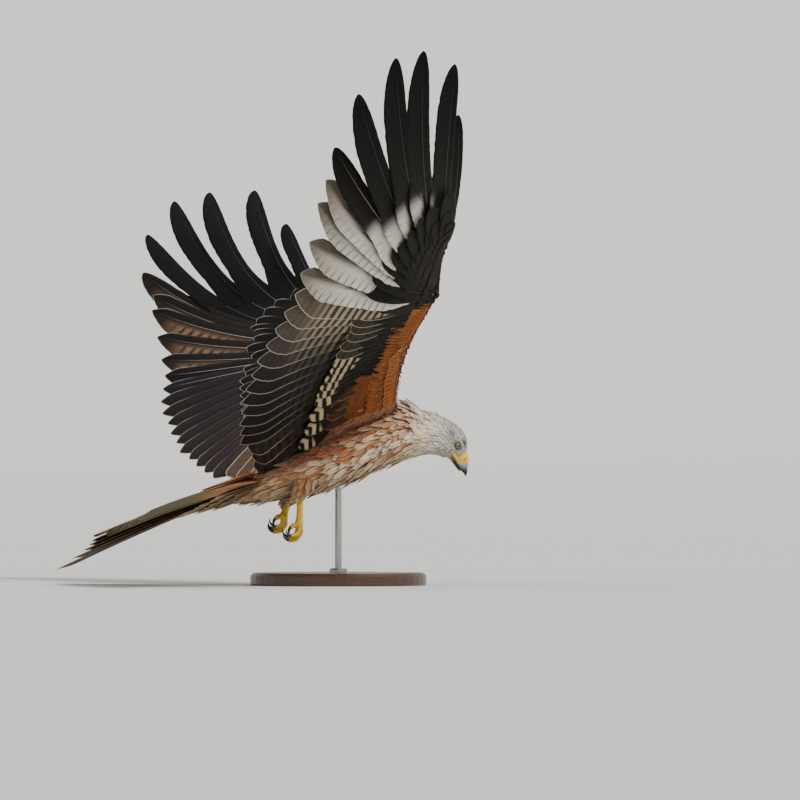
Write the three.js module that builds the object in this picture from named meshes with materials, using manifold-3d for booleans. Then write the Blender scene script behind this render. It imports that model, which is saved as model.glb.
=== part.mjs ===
// A red kite in flight, life size, on a plain display stand.
// Millimetres. +X is the way the bird heads, +Y is its left, +Z is up, and the floor is at zero.
// Each sub-part is one closed solid, lofted or turned, and joined or cut by booleans.
import * as THREE from "three";
import { mergeVertices } from "three/addons/utils/BufferGeometryUtils.js";
import Module from "manifold-3d";

const wasm = await Module();
wasm.setup();

// The space kept between solids that touch.
const GAP = 0.3;
// Edges shorter than this are closed up where solids are joined.
const SLIVER = 0.05;

// How the bird is held: the height of its shoulders, and how far it banks about a level line.
const SHOULDER_HEIGHT = 246;
const BANK = { angle: 8.7, heading: 13.5 };

// The body's stations from rump to face: centre, lean of the section, and its reach up, down and sideways.
const BODY_STATIONS = [
  { x: -214, z: -122, lean: 20, up: 13, down: 17, wide: 21 },
  { x: -175, z: -109, lean: 23, up: 24, down: 27, wide: 34 },
  { x: -117, z: -88, lean: 23, up: 36, down: 37, wide: 47 },
  { x: -60, z: -63, lean: 22, up: 42, down: 42, wide: 55 },
  { x: -6, z: -37, lean: 18, up: 43, down: 43, wide: 54 },
  { x: 31, z: -26.5, lean: 4, up: 41.5, down: 42, wide: 43 },
  { x: 48, z: -30.5, lean: -8, up: 35.5, down: 35, wide: 34 },
  { x: 64, z: -32.5, lean: -22, up: 33, down: 31.5, wide: 28.5 },
  { x: 84, z: -40, lean: -42, up: 29, down: 26, wide: 25 },
  { x: 97, z: -49.5, lean: -48, up: 22, down: 19.5, wide: 21.5 },
  { x: 104, z: -57.5, lean: -56, up: 12, down: 12, wide: 13 },
  { x: 106, z: -60.5, lean: -60, up: 7, down: 7, wide: 7 },
];
const BODY_SIDES = 24;
const STATION_PARTS = 2;
// Half the gap at a parting, in stations.
const PARTING = 0.01;
// Where the body is parted into rump, torso, neck and head, as station numbers.
const TORSO_FROM = 0.45;
const NECK_FROM = 5.1;
const HEAD_FROM = 6.9;

// Wing bones, and the turns of the forearm's and the hand's frames, in degrees.
const SHOULDER = new THREE.Vector3(0, 50, 0);
const ELBOW = new THREE.Vector3(-60, 150, 52);
const FOREARM_LENGTH = 154;
const HAND_LENGTH = 95;
const ARM_TURN = { raise: 22.4, pitch: -26.6, sweep: -24.9 };
const HAND_TURN = { raise: 44.8, pitch: -29.2, sweep: 8.6 };
const WING_ROOT_FRONT = new THREE.Vector3(12, 30, 2);
const WING_ROOT_BACK = new THREE.Vector3(-92, 30, -38);
const LEADING_EDGE_BOW = 24;

// Flight feathers: primaries outward from the wrist, then secondaries and tertials inward.
const PRIMARIES = 10;
const SECONDARIES = 12;
const TERTIALS = 5;
const PRIMARY = {
  lengths: [289, 309, 341, 349, 381, 431, 437, 407, 342, 232],
  angles: [56.7, 49.1, 40.9, 36.9, 32, 23.2, 14.4, 8.4, 0, -3.7],
  lead: [14, 14, 14, 14, 14, 14, 14, 14, 12, 8],
  trail: [33, 33, 33, 34, 36, 37, 37, 37, 34, 26],
  bows: [0, -0.005, -0.014, -0.028, -0.048, -0.07, -0.09, -0.092, -0.072, -0.02],
};
const SECONDARY = { length: [282, 227], angle: [4.5, -50], lift: [5, -4], lead: 14, trail: 35 };
const TERTIAL = { length: [214, 128], angle: [-53, -60], lead: 17, trail: 30 };
// From this primary outwards the tips are cut in like fingers.
const FIRST_FINGER = 5;
// How far forward of the line of bones the outermost primary is rooted, and from which primary outwards a
// wing's forward turn is whole.
const OUTER_ROOTS_FORWARD = 8;
const FULLY_FORWARD = 7;
// How much lower, at its root, each primary lies than the one inside it, and each inner secondary higher.
const STACK = { hand: 1.1, arm: 0.35 };

// How a flight feather bends, as shares of its length: towards the leading edge, and upwards in the middle.
const ARM_BOW = 0.03;
const CAMBER = { arm: 0.022, hand: -0.08 };

// A feather's half thickness at its edges, along its shaft and in its quill, and the trailing web's droop.
const VANE = { edge: 0.28, shaft: 0.5, quill: 1, droop: 0.03 };
// The turn about its shaft, in degrees, that lays each feather over the next one out.
const TILT = { flight: 7, covert: 7, tail: 5 };

// Outlines of feathers: shares of the length, and there each web's share of its width, the leading web first.
const OUTLINES = {
  rounded: [[0, 0.35, 0.25], [0.46, 1, 1], [0.91, 0.93, 0.84], [1, 0.36, 0.28]],
  bent: [[0, 0.35, 0.25], [0.22, 0.68, 0.62], [0.5, 1, 1], [0.91, 0.93, 0.84], [1, 0.36, 0.28]],
  fingered: [
    [0, 0.35, 0.25],
    [0.2, 0.66, 0.6],
    [0.42, 1, 1],
    [0.6, 0.86, 0.76],
    [0.88, 0.7, 0.62],
    [1, 0.16, 0.12],
  ],
  widening: [[0, 0.3, 0.2], [0.45, 0.84, 0.8], [0.92, 1, 1], [1, 0.5, 0.34]],
  covert: [[0, 0.5, 0.5], [0.66, 1, 1], [1, 0.4, 0.4]],
};

// Tiers of coverts over and under the flight feathers: lengths on the arm and on the hand, height above or
// below the flight feathers at their tips, webs, and the spacing in flight feathers.
const COVERTS = {
  upper: { length: [122, 100], rise: 5.4, root: 0.6, lead: 9, trail: 14, every: 1 },
  under: { length: [108, 92], rise: -7.2, root: -0.52, lead: 15, trail: 23, every: 2 },
};
const ALULA = { count: 3, length: [112, 78], angle: [17, 2], lead: 8, trail: 13, rise: 10, step: 1.3 };

// What differs between the wings, in degrees: the whole wing's raise, the trailing edge's lift, and how far
// the primaries are turned forward.
const WINGS = {
  right: { mirror: -1, raise: -1, trailing: 3, forward: 1.2 },
  left: { mirror: 1, raise: 1, trailing: -3, forward: -1 },
};

// Eyes, with the rim of lid round each and the brow over it.
const EYE = { centre: new THREE.Vector3(94.5, 16.6, -47.5), radius: 6.6 };
const LID = { radius: 4.9, tube: 1.1, reach: 4.6 };
const BROW = { thick: 2.3, lift: 5.6 };

// The bill, from inside the face down to the hooked tip: places along its middle plane.
const CERE = {
  path: [[101, -54], [104.4, -60], [106.4, -66], [107.8, -71.4]],
  deep: [11.5, 11.2, 10, 8.6],
  wide: [10.5, 9.6, 8.4, 6.6],
};
const UPPER_BILL = {
  path: [[107.9, -71.8], [109, -76], [110.6, -80], [111.6, -84], [110.6, -88]],
  deep: [8.5, 6.6, 4.4, 2.3, 0.6],
  wide: [6.5, 5.2, 3.7, 2, 0.5],
};
const LOWER_BILL = {
  path: [[92, -62], [95.4, -67.5], [98.6, -72.5], [101.6, -77.5], [103.8, -81]],
  deep: [3.4, 3.2, 2.7, 2, 0.8],
  wide: [8.6, 7.6, 6, 4.2, 1.6],
};
const GAPE = {
  path: [[86.5, -56], [91, -59.5], [96, -65], [100, -71]],
  out: [14.6, 13.4, 10.2, 6.8],
  thick: [1.7, 2.6, 2.8, 2],
};
const NOSTRIL = { x: 109.6, z: -65.6, radius: 1.3 };

// Legs: the feathered thigh, the bare tarsus and toes curled into a loose fist.
const LEGS = {
  right: { mirror: -1, knee: [-122, 31, -92], ankle: [-138, 30, -126], foot: [-138, 29, -170] },
  left: { mirror: 1, knee: [-124, 31, -90], ankle: [-142, 30, -125], foot: [-147, 29, -150] },
};
const THIGH = { wide: 13, deep: 17 };
const TARSUS = { wide: 4.6, deep: 5.2, bow: 1.5 };
const INSTEP = 4.6;
// Each toe: how far aside it stands, its length, half thickness, first bearing and turn, and its claw's.
// A bearing of zero is forward, 90 is down and 180 is back.
const TOES = [
  { name: "inner", aside: -8.2, length: 25, thick: 3.9, start: 72, turn: 118, claw: 16 },
  { name: "middle", aside: 0, length: 33, thick: 4, start: 58, turn: 132, claw: 15 },
  { name: "outer", aside: 7.9, length: 26, thick: 3.6, start: 68, turn: 122, claw: 13 },
  { name: "hind", aside: 0, length: 13, thick: 4.2, start: 192, turn: -58, claw: 14 },
];
const CLAW_TURN = 95;
// A claw starts a little off its toe's end, because it is turned against it.
const CLAW_GAP = 0.85;

// The stand: a round base and one rod into the underside of the body.
const BASE = { x: -74, y: 0, radius: 125, height: 18, edge: 4 };
const ROD = { radius: 5, collar: 13, collarHeight: 6 };

// The tail is fanned wide: six pairs of feathers, the outer ones longest.
const TAIL_ROOT = { x: -190, z: -104 };
const TAIL_SLOPE = 21.5;
const TAIL = {
  lengths: [250, 250, 257, 275, 312, 374],
  angles: [3.5, 12, 21, 30.5, 40.5, 50],
  lead: [26, 20, 20, 20, 20, 17],
  trail: [26, 38, 40, 40, 40, 38],
  camber: 0.012,
  height: [5.5, -5],
  topmost: 1.7,
};
const TAIL_COVERTS = {
  upper: { length: [96, 74], spread: 34, apart: 26, height: [14, 8], rise: [13.5, 8], lead: 16, trail: 14 },
  under: { length: [120, 90], spread: 36, apart: 28, height: [-14, -6], rise: [-11, -7], lead: 17, trail: 14 },
};
const TAIL_COVERT_COUNT = 3;

const v3 = (x, y, z) => new THREE.Vector3(x, y, z);
const radians = THREE.MathUtils.degToRad;
const lerp = THREE.MathUtils.lerp;
const smooth = THREE.MathUtils.smoothstep;

// A closed surface of points and triangles as a solid, its faces turned outwards.
function solidOf(geometry) {
  const bare = new THREE.BufferGeometry().setAttribute("position", geometry.getAttribute("position"));
  if (geometry.index) bare.setIndex(geometry.index);
  const merged = mergeVertices(bare, 1e-4);
  const triVerts = new Uint32Array(merged.index.array);
  const vertProperties = new Float32Array(merged.getAttribute("position").array);
  const made = new wasm.Manifold(new wasm.Mesh({ numProp: 3, vertProperties, triVerts }));
  if (made.volume() >= 0) return made;
  for (let i = 0; i < triVerts.length; i += 3) {
    [triVerts[i + 1], triVerts[i + 2]] = [triVerts[i + 2], triVerts[i + 1]];
  }
  return new wasm.Manifold(new wasm.Mesh({ numProp: 3, vertProperties, triVerts }));
}

function solidFrom(points, triangles) {
  const surface = new THREE.BufferGeometry().setFromPoints(points);
  surface.setIndex(triangles);
  return solidOf(surface);
}

const unite = (solids) => wasm.Manifold.union(solids);

// The largest closed surface of a solid, without loose scraps, sealed hollows or slivers.
function largest(solid) {
  const pieces = solid.simplify(SLIVER).decompose();
  return pieces.reduce((best, piece) => (piece.volume() > best.volume() ? piece : best));
}

// A skin through rings of equally many points, closed at both ends.
// crossed tells the sides whose squares are split along their other diagonal.
function loft(rings, crossed = () => false) {
  const count = rings[0].length;
  const triangles = [];
  for (let r = 0; r + 1 < rings.length; r++) {
    for (let k = 0; k < count; k++) {
      const a = r * count + k;
      const b = r * count + ((k + 1) % count);
      const c = a + count;
      const d = b + count;
      if (crossed(k)) triangles.push(a, b, c, b, d, c);
      else triangles.push(a, b, d, a, d, c);
    }
  }
  const last = (rings.length - 1) * count;
  for (let k = 1; k + 1 < count; k++) {
    triangles.push(0, k + 1, k);
    triangles.push(last, last + k, last + k + 1);
  }
  return solidFrom(rings.flat(), triangles);
}

// A value read from a list at a fractional index, along a smooth curve through its entries.
function along(list, index) {
  const i = Math.min(Math.max(Math.floor(index), 0), list.length - 2);
  const t = THREE.MathUtils.clamp(index - i, 0, 1);
  const at = (k) => list[THREE.MathUtils.clamp(k, 0, list.length - 1)];
  const startSlope = (at(i + 1) - at(i - 1)) / 2;
  const endSlope = (at(i + 2) - at(i)) / 2;
  const t2 = t * t;
  const t3 = t2 * t;
  const ends = (2 * t3 - 3 * t2 + 1) * at(i) + (3 * t2 - 2 * t3) * at(i + 1);
  return ends + (t3 - 2 * t2 + t) * startSlope + (t3 - t2) * endSlope;
}

// An oval ring about a centre, from its sideways and upward ways and its reaches.
function oval(centre, side, up, { wide, high, low = high, sides }) {
  const ring = [];
  for (let k = 0; k < sides; k++) {
    const turn = ((k + 0.5) / sides) * 2 * Math.PI;
    const rise = Math.sin(turn) * (Math.sin(turn) > 0 ? high : low);
    ring.push(centre.clone().addScaledVector(side, Math.cos(turn) * wide).addScaledVector(up, rise));
  }
  return ring;
}

// The body's section at a station number, grown by a margin.
function bodyRing(station, grow = 0) {
  const read = (name) => along(BODY_STATIONS.map((s) => s[name]), station);
  const lean = radians(read("lean"));
  const up = v3(-Math.sin(lean), 0, Math.cos(lean));
  const reach = { wide: read("wide") + grow, high: read("up") + grow, low: read("down") + grow };
  return oval(v3(read("x"), 0, read("z")), v3(0, 1, 0), up, { ...reach, sides: BODY_SIDES });
}

// A length of the body. Every length shares the same inner rings, so that its faces match the others'.
function body(from, to, grow = 0) {
  const rings = [bodyRing(from, grow)];
  for (let k = Math.floor(from * STATION_PARTS) + 1; k < to * STATION_PARTS; k++) {
    rings.push(bodyRing(k / STATION_PARTS, grow));
  }
  rings.push(bodyRing(to, grow));
  return loft(rings);
}

const LAST_STATION = BODY_STATIONS.length - 1;
const BODY_GROWN = body(0, LAST_STATION, GAP);

// A frame's ways forward, outward and up, on the left side.
function frameOf({ raise, pitch, sweep }) {
  const turn = new THREE.Euler(radians(raise), radians(pitch), radians(sweep), "XYZ");
  return {
    forward: v3(1, 0, 0).applyEuler(turn),
    outward: v3(0, 1, 0).applyEuler(turn),
    up: v3(0, 0, 1).applyEuler(turn),
  };
}

const ARM = frameOf(ARM_TURN);
const HAND = frameOf(HAND_TURN);
const WRIST = ELBOW.clone().addScaledVector(ARM.outward, FOREARM_LENGTH);
const HAND_END = WRIST.clone().addScaledVector(HAND.outward, HAND_LENGTH);

// The height of the flight feathers' roots over the line of bones at q.
function rootHeight(q) {
  if (q >= 0) return 2 * smooth(q, -1, 1.5) - STACK.hand * Math.max(q - 1.5, 0);
  return 2 * smooth(q, -1, 1.5) + STACK.arm * Math.max(-q - 5, 0);
}

// A place along the wing is a number q, in feathers: 0 at the wrist, growing outwards.
const ELBOW_Q = -SECONDARIES;
const ROOT_Q = -SECONDARIES - TERTIALS;

function boneAt(q) {
  if (q >= 0) return WRIST.clone().lerp(HAND_END, Math.max(q - 0.5, 0) / (PRIMARIES - 1));
  if (q >= ELBOW_Q) return WRIST.clone().lerp(ELBOW, q / ELBOW_Q);
  return ELBOW.clone().lerp(WING_ROOT_BACK, (q - ELBOW_Q) / (ROOT_Q - ELBOW_Q));
}

// Up from the wing's dorsal face, turned smoothly past the wrist.
function upAt(q) {
  return ARM.up.clone().lerp(HAND.up, smooth(q, -2.5, 2.5)).normalize();
}

// A way in the hand's plane, at an angle back from straight outward.
function handWay(angle) {
  return HAND.outward.clone().multiplyScalar(Math.cos(angle)).addScaledVector(HAND.forward, -Math.sin(angle));
}

// The place, way and length of the flight feather at q.
function featherAt(q, wing = WINGS.left) {
  const place = boneAt(q);
  if (q >= 0) {
    const angle = radians(along(PRIMARY.angles, q - 0.5) - wing.forward * smooth(q, 0, FULLY_FORWARD));
    const way = handWay(angle);
    const reach = way.multiplyScalar(along(PRIMARY.lengths, q - 0.5));
    const forward = HAND.forward.clone().multiplyScalar(OUTER_ROOTS_FORWARD * smooth(q, 5, PRIMARIES));
    reach.sub(forward);
    return { place: place.add(forward), way: reach.clone().normalize(), length: reach.length(), up: upAt(q) };
  }
  const share = (-q - 0.5) / (SECONDARIES - 1);
  const inner = (q - ELBOW_Q) / (ROOT_Q - ELBOW_Q);
  const isTertial = q < ELBOW_Q;
  const angle = radians(isTertial ? lerp(...TERTIAL.angle, inner) : lerp(...SECONDARY.angle, share));
  const length = isTertial ? lerp(...TERTIAL.length, inner) : lerp(...SECONDARY.length, share);
  const lift = radians(lerp(...SECONDARY.lift, share) + wing.trailing * Math.min(share, 1));
  const way = ARM.forward
    .clone()
    .multiplyScalar(-Math.cos(angle))
    .addScaledVector(ARM.outward, Math.sin(angle))
    .addScaledVector(ARM.up, Math.sin(lift));
  return { place, way: way.normalize(), length, up: upAt(q) };
}

// The leading edge in front of the bones.
function frontAt(q) {
  const wristFront = WRIST.clone().addScaledVector(HAND.forward, 13);
  if (q >= 0) return boneAt(q).addScaledVector(HAND.forward, lerp(13, 7, q / PRIMARIES));
  const share = Math.pow(q / ROOT_Q, 1.25);
  const bow = LEADING_EDGE_BOW * Math.sin(Math.PI * share);
  return wristFront.lerp(WING_ROOT_FRONT, share).addScaledVector(ARM.forward, -bow);
}

// The flesh of the wing: a blade from the leading edge to a little behind the bones.
const BLADE_SIDES = 4;
const PARTING_LEAD = 20;
const PARTING_REACH = 200;

// The flesh's half thickness.
const depthAt = (q) => lerp(12, 5.5, smooth(q, ROOT_Q, PRIMARIES));

function bladeRing(q, wing) {
  const { place, way } = featherAt(q, wing);
  const front = frontAt(q);
  const back = place.clone().addScaledVector(way, lerp(20, 9, smooth(q, 0, PRIMARIES)));
  const up = upAt(q);
  const depth = depthAt(q);
  const swell = (share) => depth * (0.22 + 0.78 * Math.sin(Math.PI * Math.pow(0.03 + 0.94 * share, 0.62)));
  const upper = [];
  const lower = [];
  for (let k = 0; k <= BLADE_SIDES; k++) {
    const share = k / BLADE_SIDES;
    const point = front.clone().lerp(back, share).addScaledVector(up, 0.8 * rootHeight(q));
    upper.push(point.clone().addScaledVector(up, swell(share)));
    lower.unshift(point.clone().addScaledVector(up, -0.9 * swell(share)));
  }
  return [...upper, ...lower];
}

// A copy of the first ring, moved back, so that a wing part runs on a little past the parting plane.
const ledBy = (rings, lead) => [rings[0].map((point) => point.clone().add(lead)), ...rings];

function blade(from, to, steps, lead, wing) {
  const rings = [];
  for (let k = 0; k <= steps; k++) rings.push(bladeRing(lerp(from, to, k / steps), wing));
  return loft(ledBy(rings, lead));
}

// A small seeded variation about one.
const vary = (amount) => 1 + amount * (2 * THREE.MathUtils.seededRandom() - 1);

// A thin leaf about a shaft. It may follow only the first part of a longer feather, above or below it.
function vane(feather, { reach = 1, rise = [0, 0], lead, trail, outline, tilt, ribbed }) {
  const { place, way, upAlong, length, bow, camber } = feather;
  const turn = radians(tilt);
  const rings = outline.map(([share, leading, following]) => {
    const t = share * reach;
    const up = upAlong(t * length);
    const trailing = new THREE.Vector3().crossVectors(up, way).normalize();
    const side = trailing.clone().multiplyScalar(Math.cos(turn)).addScaledVector(up, -Math.sin(turn));
    const over = up.clone().multiplyScalar(Math.cos(turn)).addScaledVector(trailing, Math.sin(turn));
    const bulge = 4 * t * (1 - t) * length;
    const centre = place.clone().addScaledVector(way, t * length).addScaledVector(trailing, -bow * bulge);
    centre.addScaledVector(up, camber * bulge + lerp(...rise, Math.min(2 * share, 1)));
    const shaft = lerp(VANE.quill, VANE.shaft, smooth(share, 0, 0.2));
    const front = centre.clone().addScaledVector(side, -lead * leading);
    const back = centre.clone().addScaledVector(side, trail * following);
    back.addScaledVector(over, -VANE.droop * trail * following);
    const at = (point, height) => point.clone().addScaledVector(over, height);
    const upper = [at(front, VANE.edge), at(centre, shaft), at(back, VANE.edge)];
    const lower = [at(back, -VANE.edge), at(centre, -shaft), at(front, -VANE.edge)];
    return ribbed ? [...upper, ...lower] : [upper[0], upper[2], lower[0], lower[2]];
  });
  return loft(rings, (k) => k >= rings[0].length / 2);
}

// The flight feather at q with its bend, its length a little varied. Its vane lies in the surface that its
// neighbours span with it.
function flightFeather(q, wing) {
  const { place, way, length } = featherAt(q, wing);
  const inner = featherAt(q - 0.5, wing);
  const outer = featherAt(q + 0.5, wing);
  const upAlong = (reached) => {
    const across = inner.place.clone().sub(outer.place);
    across.addScaledVector(inner.way, reached).addScaledVector(outer.way, -reached);
    return across.crossVectors(way, across).normalize();
  };
  const bow = q > 0.5 ? along(PRIMARY.bows, q - 0.5) : lerp(ARM_BOW, PRIMARY.bows[0], smooth(q, -5, 0.5));
  const camber = lerp(CAMBER.arm, CAMBER.hand, smooth(q, -4, 4));
  return { place, way, upAlong, bow, camber, length: length * vary(0.012) };
}

function flightVane(q, wing) {
  const feather = flightFeather(q, wing);
  const height = rootHeight(q);
  const web = { tilt: TILT.flight, outline: OUTLINES.rounded, ribbed: true, rise: [height, 0.7 * height] };
  if (q < ELBOW_Q) return vane(feather, { ...web, lead: TERTIAL.lead, trail: TERTIAL.trail });
  if (q < 0) return vane(feather, { ...web, lead: SECONDARY.lead, trail: SECONDARY.trail });
  const index = Math.floor(q);
  const outline = index < FIRST_FINGER ? OUTLINES.bent : OUTLINES.fingered;
  return vane(feather, { ...web, outline, lead: PRIMARY.lead[index], trail: PRIMARY.trail[index] });
}

// A tier of coverts from q to q, lying along the flight feathers.
function covertTier({ length, rise, root, lead, trail, every }, from, to, wing) {
  const vanes = [];
  for (let q = from; q <= to; q += every) {
    const feather = flightFeather(q, wing);
    const reach = (lerp(...length, smooth(q, -3, 3)) * vary(0.03)) / feather.length;
    const web = { lead, trail, outline: OUTLINES.covert, tilt: TILT.covert, ribbed: false };
    const height = rootHeight(q);
    vanes.push(vane(feather, { ...web, reach, rise: [root * depthAt(q) + height, rise + 0.8 * height] }));
  }
  return vanes;
}

// The alula: a few stiff feathers along the front of the wrist.
function alula() {
  const vanes = [];
  for (let k = 0; k < ALULA.count; k++) {
    const share = k / (ALULA.count - 1);
    const angle = radians(lerp(...ALULA.angle, share));
    const way = handWay(angle);
    const place = frontAt(0.6 + share).addScaledVector(HAND.forward, -7);
    const bend = { bow: 0.02, camber: 0 };
    const feather = { place, way, upAlong: () => HAND.up, length: lerp(...ALULA.length, share), ...bend };
    const web = { lead: ALULA.lead, trail: ALULA.trail, outline: OUTLINES.covert, tilt: TILT.covert };
    vanes.push(vane(feather, { ...web, rise: [2, ALULA.rise - ALULA.step * k], ribbed: false }));
  }
  return vanes;
}

// Moves a solid made for a level left wing to its own side and raise.
function poseWing(solid, { mirror, raise }) {
  const raised = solid
    .translate([0, -SHOULDER.y, -SHOULDER.z])
    .rotate([raise, 0, 0])
    .translate([0, SHOULDER.y, SHOULDER.z]);
  return mirror > 0 ? raised : raised.mirror([0, 1, 0]);
}

// The wing is parted at the wrist, midway between the innermost primary and the first secondary.
function wingParts(side, wing) {
  const [first, second] = [featherAt(0.5, wing), featherAt(-0.5, wing)];
  const pointOn = ({ place, way }, reached) => place.clone().addScaledVector(way, reached);
  const middleOf = (reached) => pointOn(first, reached).lerp(pointOn(second, reached), 0.5);
  const edge = middleOf(PARTING_REACH).sub(middleOf(0));
  const across = new THREE.Vector3().crossVectors(edge, upAt(0)).normalize();
  const offset = across.dot(middleOf(0));
  const lead = across.clone().multiplyScalar(-PARTING_LEAD);
  const handVanes = [];
  for (let q = 0.5; q < PRIMARIES; q++) handVanes.push(flightVane(q, wing));
  const armVanes = [];
  for (let q = -0.5; q > ROOT_Q + 1; q--) armVanes.push(flightVane(q, wing));
  for (const tier of Object.values(COVERTS)) {
    handVanes.push(...covertTier(tier, 0.5, PRIMARIES - 1.4, wing));
    armVanes.push(...covertTier(tier, ROOT_Q + 2.5, -0.5, wing));
  }
  const handShape = unite([blade(0, PRIMARIES, 4, lead, wing), ...handVanes, ...alula()]);
  const armShape = unite([blade(-0.5, ROOT_Q, 7, lead.clone().negate(), wing), ...armVanes]);
  const hand = handShape.trimByPlane(across.toArray(), offset + GAP / 2);
  const arm = armShape.trimByPlane(across.clone().negate().toArray(), -offset + GAP / 2);
  return {
    [`wing_${side}_arm`]: largest(poseWing(arm, wing).subtract(BODY_GROWN)),
    [`wing_${side}_hand`]: largest(poseWing(hand, wing)),
  };
}

// The tail: its feathers fan from the rump, sloping down a little more than the body.
const TAIL_BACK = v3(-Math.cos(radians(TAIL_SLOPE)), 0, -Math.sin(radians(TAIL_SLOPE)));
const TAIL_UP = v3(-Math.sin(radians(TAIL_SLOPE)), 0, Math.cos(radians(TAIL_SLOPE)));

function tailFeather(index) {
  const pair = Math.abs(index);
  const side = Math.sign(index);
  const angle = radians(along(TAIL.angles, pair - 1)) * side;
  const way = TAIL_BACK.clone().multiplyScalar(Math.cos(angle)).add(v3(0, Math.sin(angle), 0));
  const place = v3(TAIL_ROOT.x, side * lerp(1, 12, (pair - 1) / 5), TAIL_ROOT.z);
  place.addScaledVector(TAIL_UP, lerp(...TAIL.height, (pair - 1) / 5));
  return { place, way, length: along(TAIL.lengths, pair - 1) };
}

// The feathers of the tail's left half with its coverts. The outer feathers lie below the inner ones.
function tailHalf(topmost) {
  const vanes = [];
  const upAlong = () => TAIL_UP;
  for (let pair = 1; pair <= TAIL.lengths.length; pair++) {
    const feather = { ...tailFeather(pair), upAlong, bow: 0.03, camber: TAIL.camber };
    const isCentral = pair === 1;
    const raised = isCentral ? topmost : 0;
    const web = { lead: TAIL.lead[pair - 1], trail: TAIL.trail[pair - 1], ribbed: true };
    const lay = { outline: OUTLINES.widening, tilt: isCentral ? 0 : TILT.tail, rise: [raised, raised] };
    vanes.push(vane(feather, { ...web, ...lay }));
  }
  for (const { length, spread, apart, height, rise, lead, trail } of Object.values(TAIL_COVERTS)) {
    for (let k = 0; k < TAIL_COVERT_COUNT; k++) {
      const share = (k + 0.5) / TAIL_COVERT_COUNT;
      const angle = radians(spread * share);
      const way = TAIL_BACK.clone().multiplyScalar(Math.cos(angle)).add(v3(0, Math.sin(angle), 0));
      const place = v3(TAIL_ROOT.x - 8, apart * share, TAIL_ROOT.z - 3);
      const feather = { place, way, upAlong, length: lerp(...length, share), bow: 0, camber: 0 };
      const web = { lead, trail, outline: OUTLINES.covert, tilt: 0, ribbed: false };
      vanes.push(vane(feather, { ...web, rise: [lerp(...height, share), lerp(...rise, share)] }));
    }
  }
  return unite(vanes);
}

// A tube of ovals along a list of places, from a size at each, grown by a margin all round.
function tube(places, sizes, side, sides, grow = 0) {
  const last = places.length - 1;
  const rings = places.map((place, k) => {
    const way = places[Math.min(k + 1, last)].clone().sub(places[Math.max(k - 1, 0)]).normalize();
    const up = new THREE.Vector3().crossVectors(way, side).normalize();
    const centre = place.clone().addScaledVector(way, k === 0 ? -grow : k === last ? grow : 0);
    return oval(centre, side, up, { wide: sizes[k].wide + grow, high: sizes[k].high + grow, sides });
  });
  return loft(rings);
}

const solids = {};
const looks = {};

function keep(name, solid, look) {
  solids[name] = solid;
  looks[name] = look;
}

// How each sub-part is coloured.
const PLUMAGE = { color: 0xa5602f, roughness: 0.85, metalness: 0 };
const PALE_PLUMAGE = { color: 0xd9d2c4, roughness: 0.85, metalness: 0 };
const QUILLS = { color: 0x2c241f, roughness: 0.7, metalness: 0 };
const YELLOW_SKIN = { color: 0xe0a818, roughness: 0.5, metalness: 0 };
const HORN = { color: 0x2a2a2c, roughness: 0.3, metalness: 0 };
const IRIS = { color: 0xd8d0a0, roughness: 0.1, metalness: 0 };
const BASE_WOOD = { color: 0x3a2a20, roughness: 0.5, metalness: 0 };
const ROD_STEEL = { color: 0xb8b8b8, roughness: 0.3, metalness: 1 };

const onSide = (solid, mirror) => (mirror > 0 ? solid : solid.mirror([0, 1, 0]));

// A sphere of few faces.
const ball = (centre, radius, sides = 14) =>
  solidOf(new THREE.SphereGeometry(radius, sides, sides / 2)).translate(centre.toArray());

// The eye sits in a socket, looking out and a little forward, with a rim of lid and a brow.
const EYE_OUT = v3(0.28, 0.93, -0.22).normalize();

function lidRing(grow = 0) {
  const profile = [];
  for (let k = 0; k <= 6; k++) {
    const turn = (k / 6) * 2 * Math.PI;
    const thick = LID.tube + grow;
    profile.push(new THREE.Vector2(LID.radius + thick * Math.cos(turn), thick * Math.sin(turn)));
  }
  const ring = new THREE.LatheGeometry(profile, 14);
  ring.applyQuaternion(new THREE.Quaternion().setFromUnitVectors(v3(0, 1, 0), EYE_OUT));
  return solidOf(ring).translate(EYE.centre.clone().addScaledVector(EYE_OUT, LID.reach).toArray());
}

function browRidge() {
  const middle = EYE.centre.clone().addScaledVector(EYE_OUT, LID.reach - 1.4);
  const lengthwise = v3(0.62, 0.12, -0.77).normalize();
  const over = new THREE.Vector3().crossVectors(EYE_OUT, lengthwise).negate().normalize();
  const places = [];
  const sizes = [];
  for (let k = 0; k <= 6; k++) {
    const t = lerp(-1, 1, k / 6);
    const arch = BROW.lift - 1.9 * t * t;
    places.push(middle.clone().addScaledVector(lengthwise, 9 * t).addScaledVector(over, arch));
    const thick = BROW.thick * Math.sqrt(1.05 - t * t);
    sizes.push({ wide: thick, high: thick });
  }
  return tube(places, sizes, EYE_OUT, 7);
}

// A tube in the head's middle plane, from its depth and width at each place.
function middleTube({ path, deep, wide }, sides, grow = 0) {
  const places = path.map(([x, z]) => v3(x, 0, z));
  const sizes = deep.map((d, k) => ({ wide: wide[k], high: d }));
  return tube(places, sizes, v3(0, 1, 0), sides, grow);
}

// The soft yellow edge of the mouth, from under the eye to the bill.
function gape() {
  const places = GAPE.path.map(([x, z], k) => v3(x, GAPE.out[k], z));
  const sizes = GAPE.thick.map((thick) => ({ wide: 1.3 * thick, high: thick }));
  return tube(places, sizes, v3(0, 1, 0), 8);
}

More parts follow.
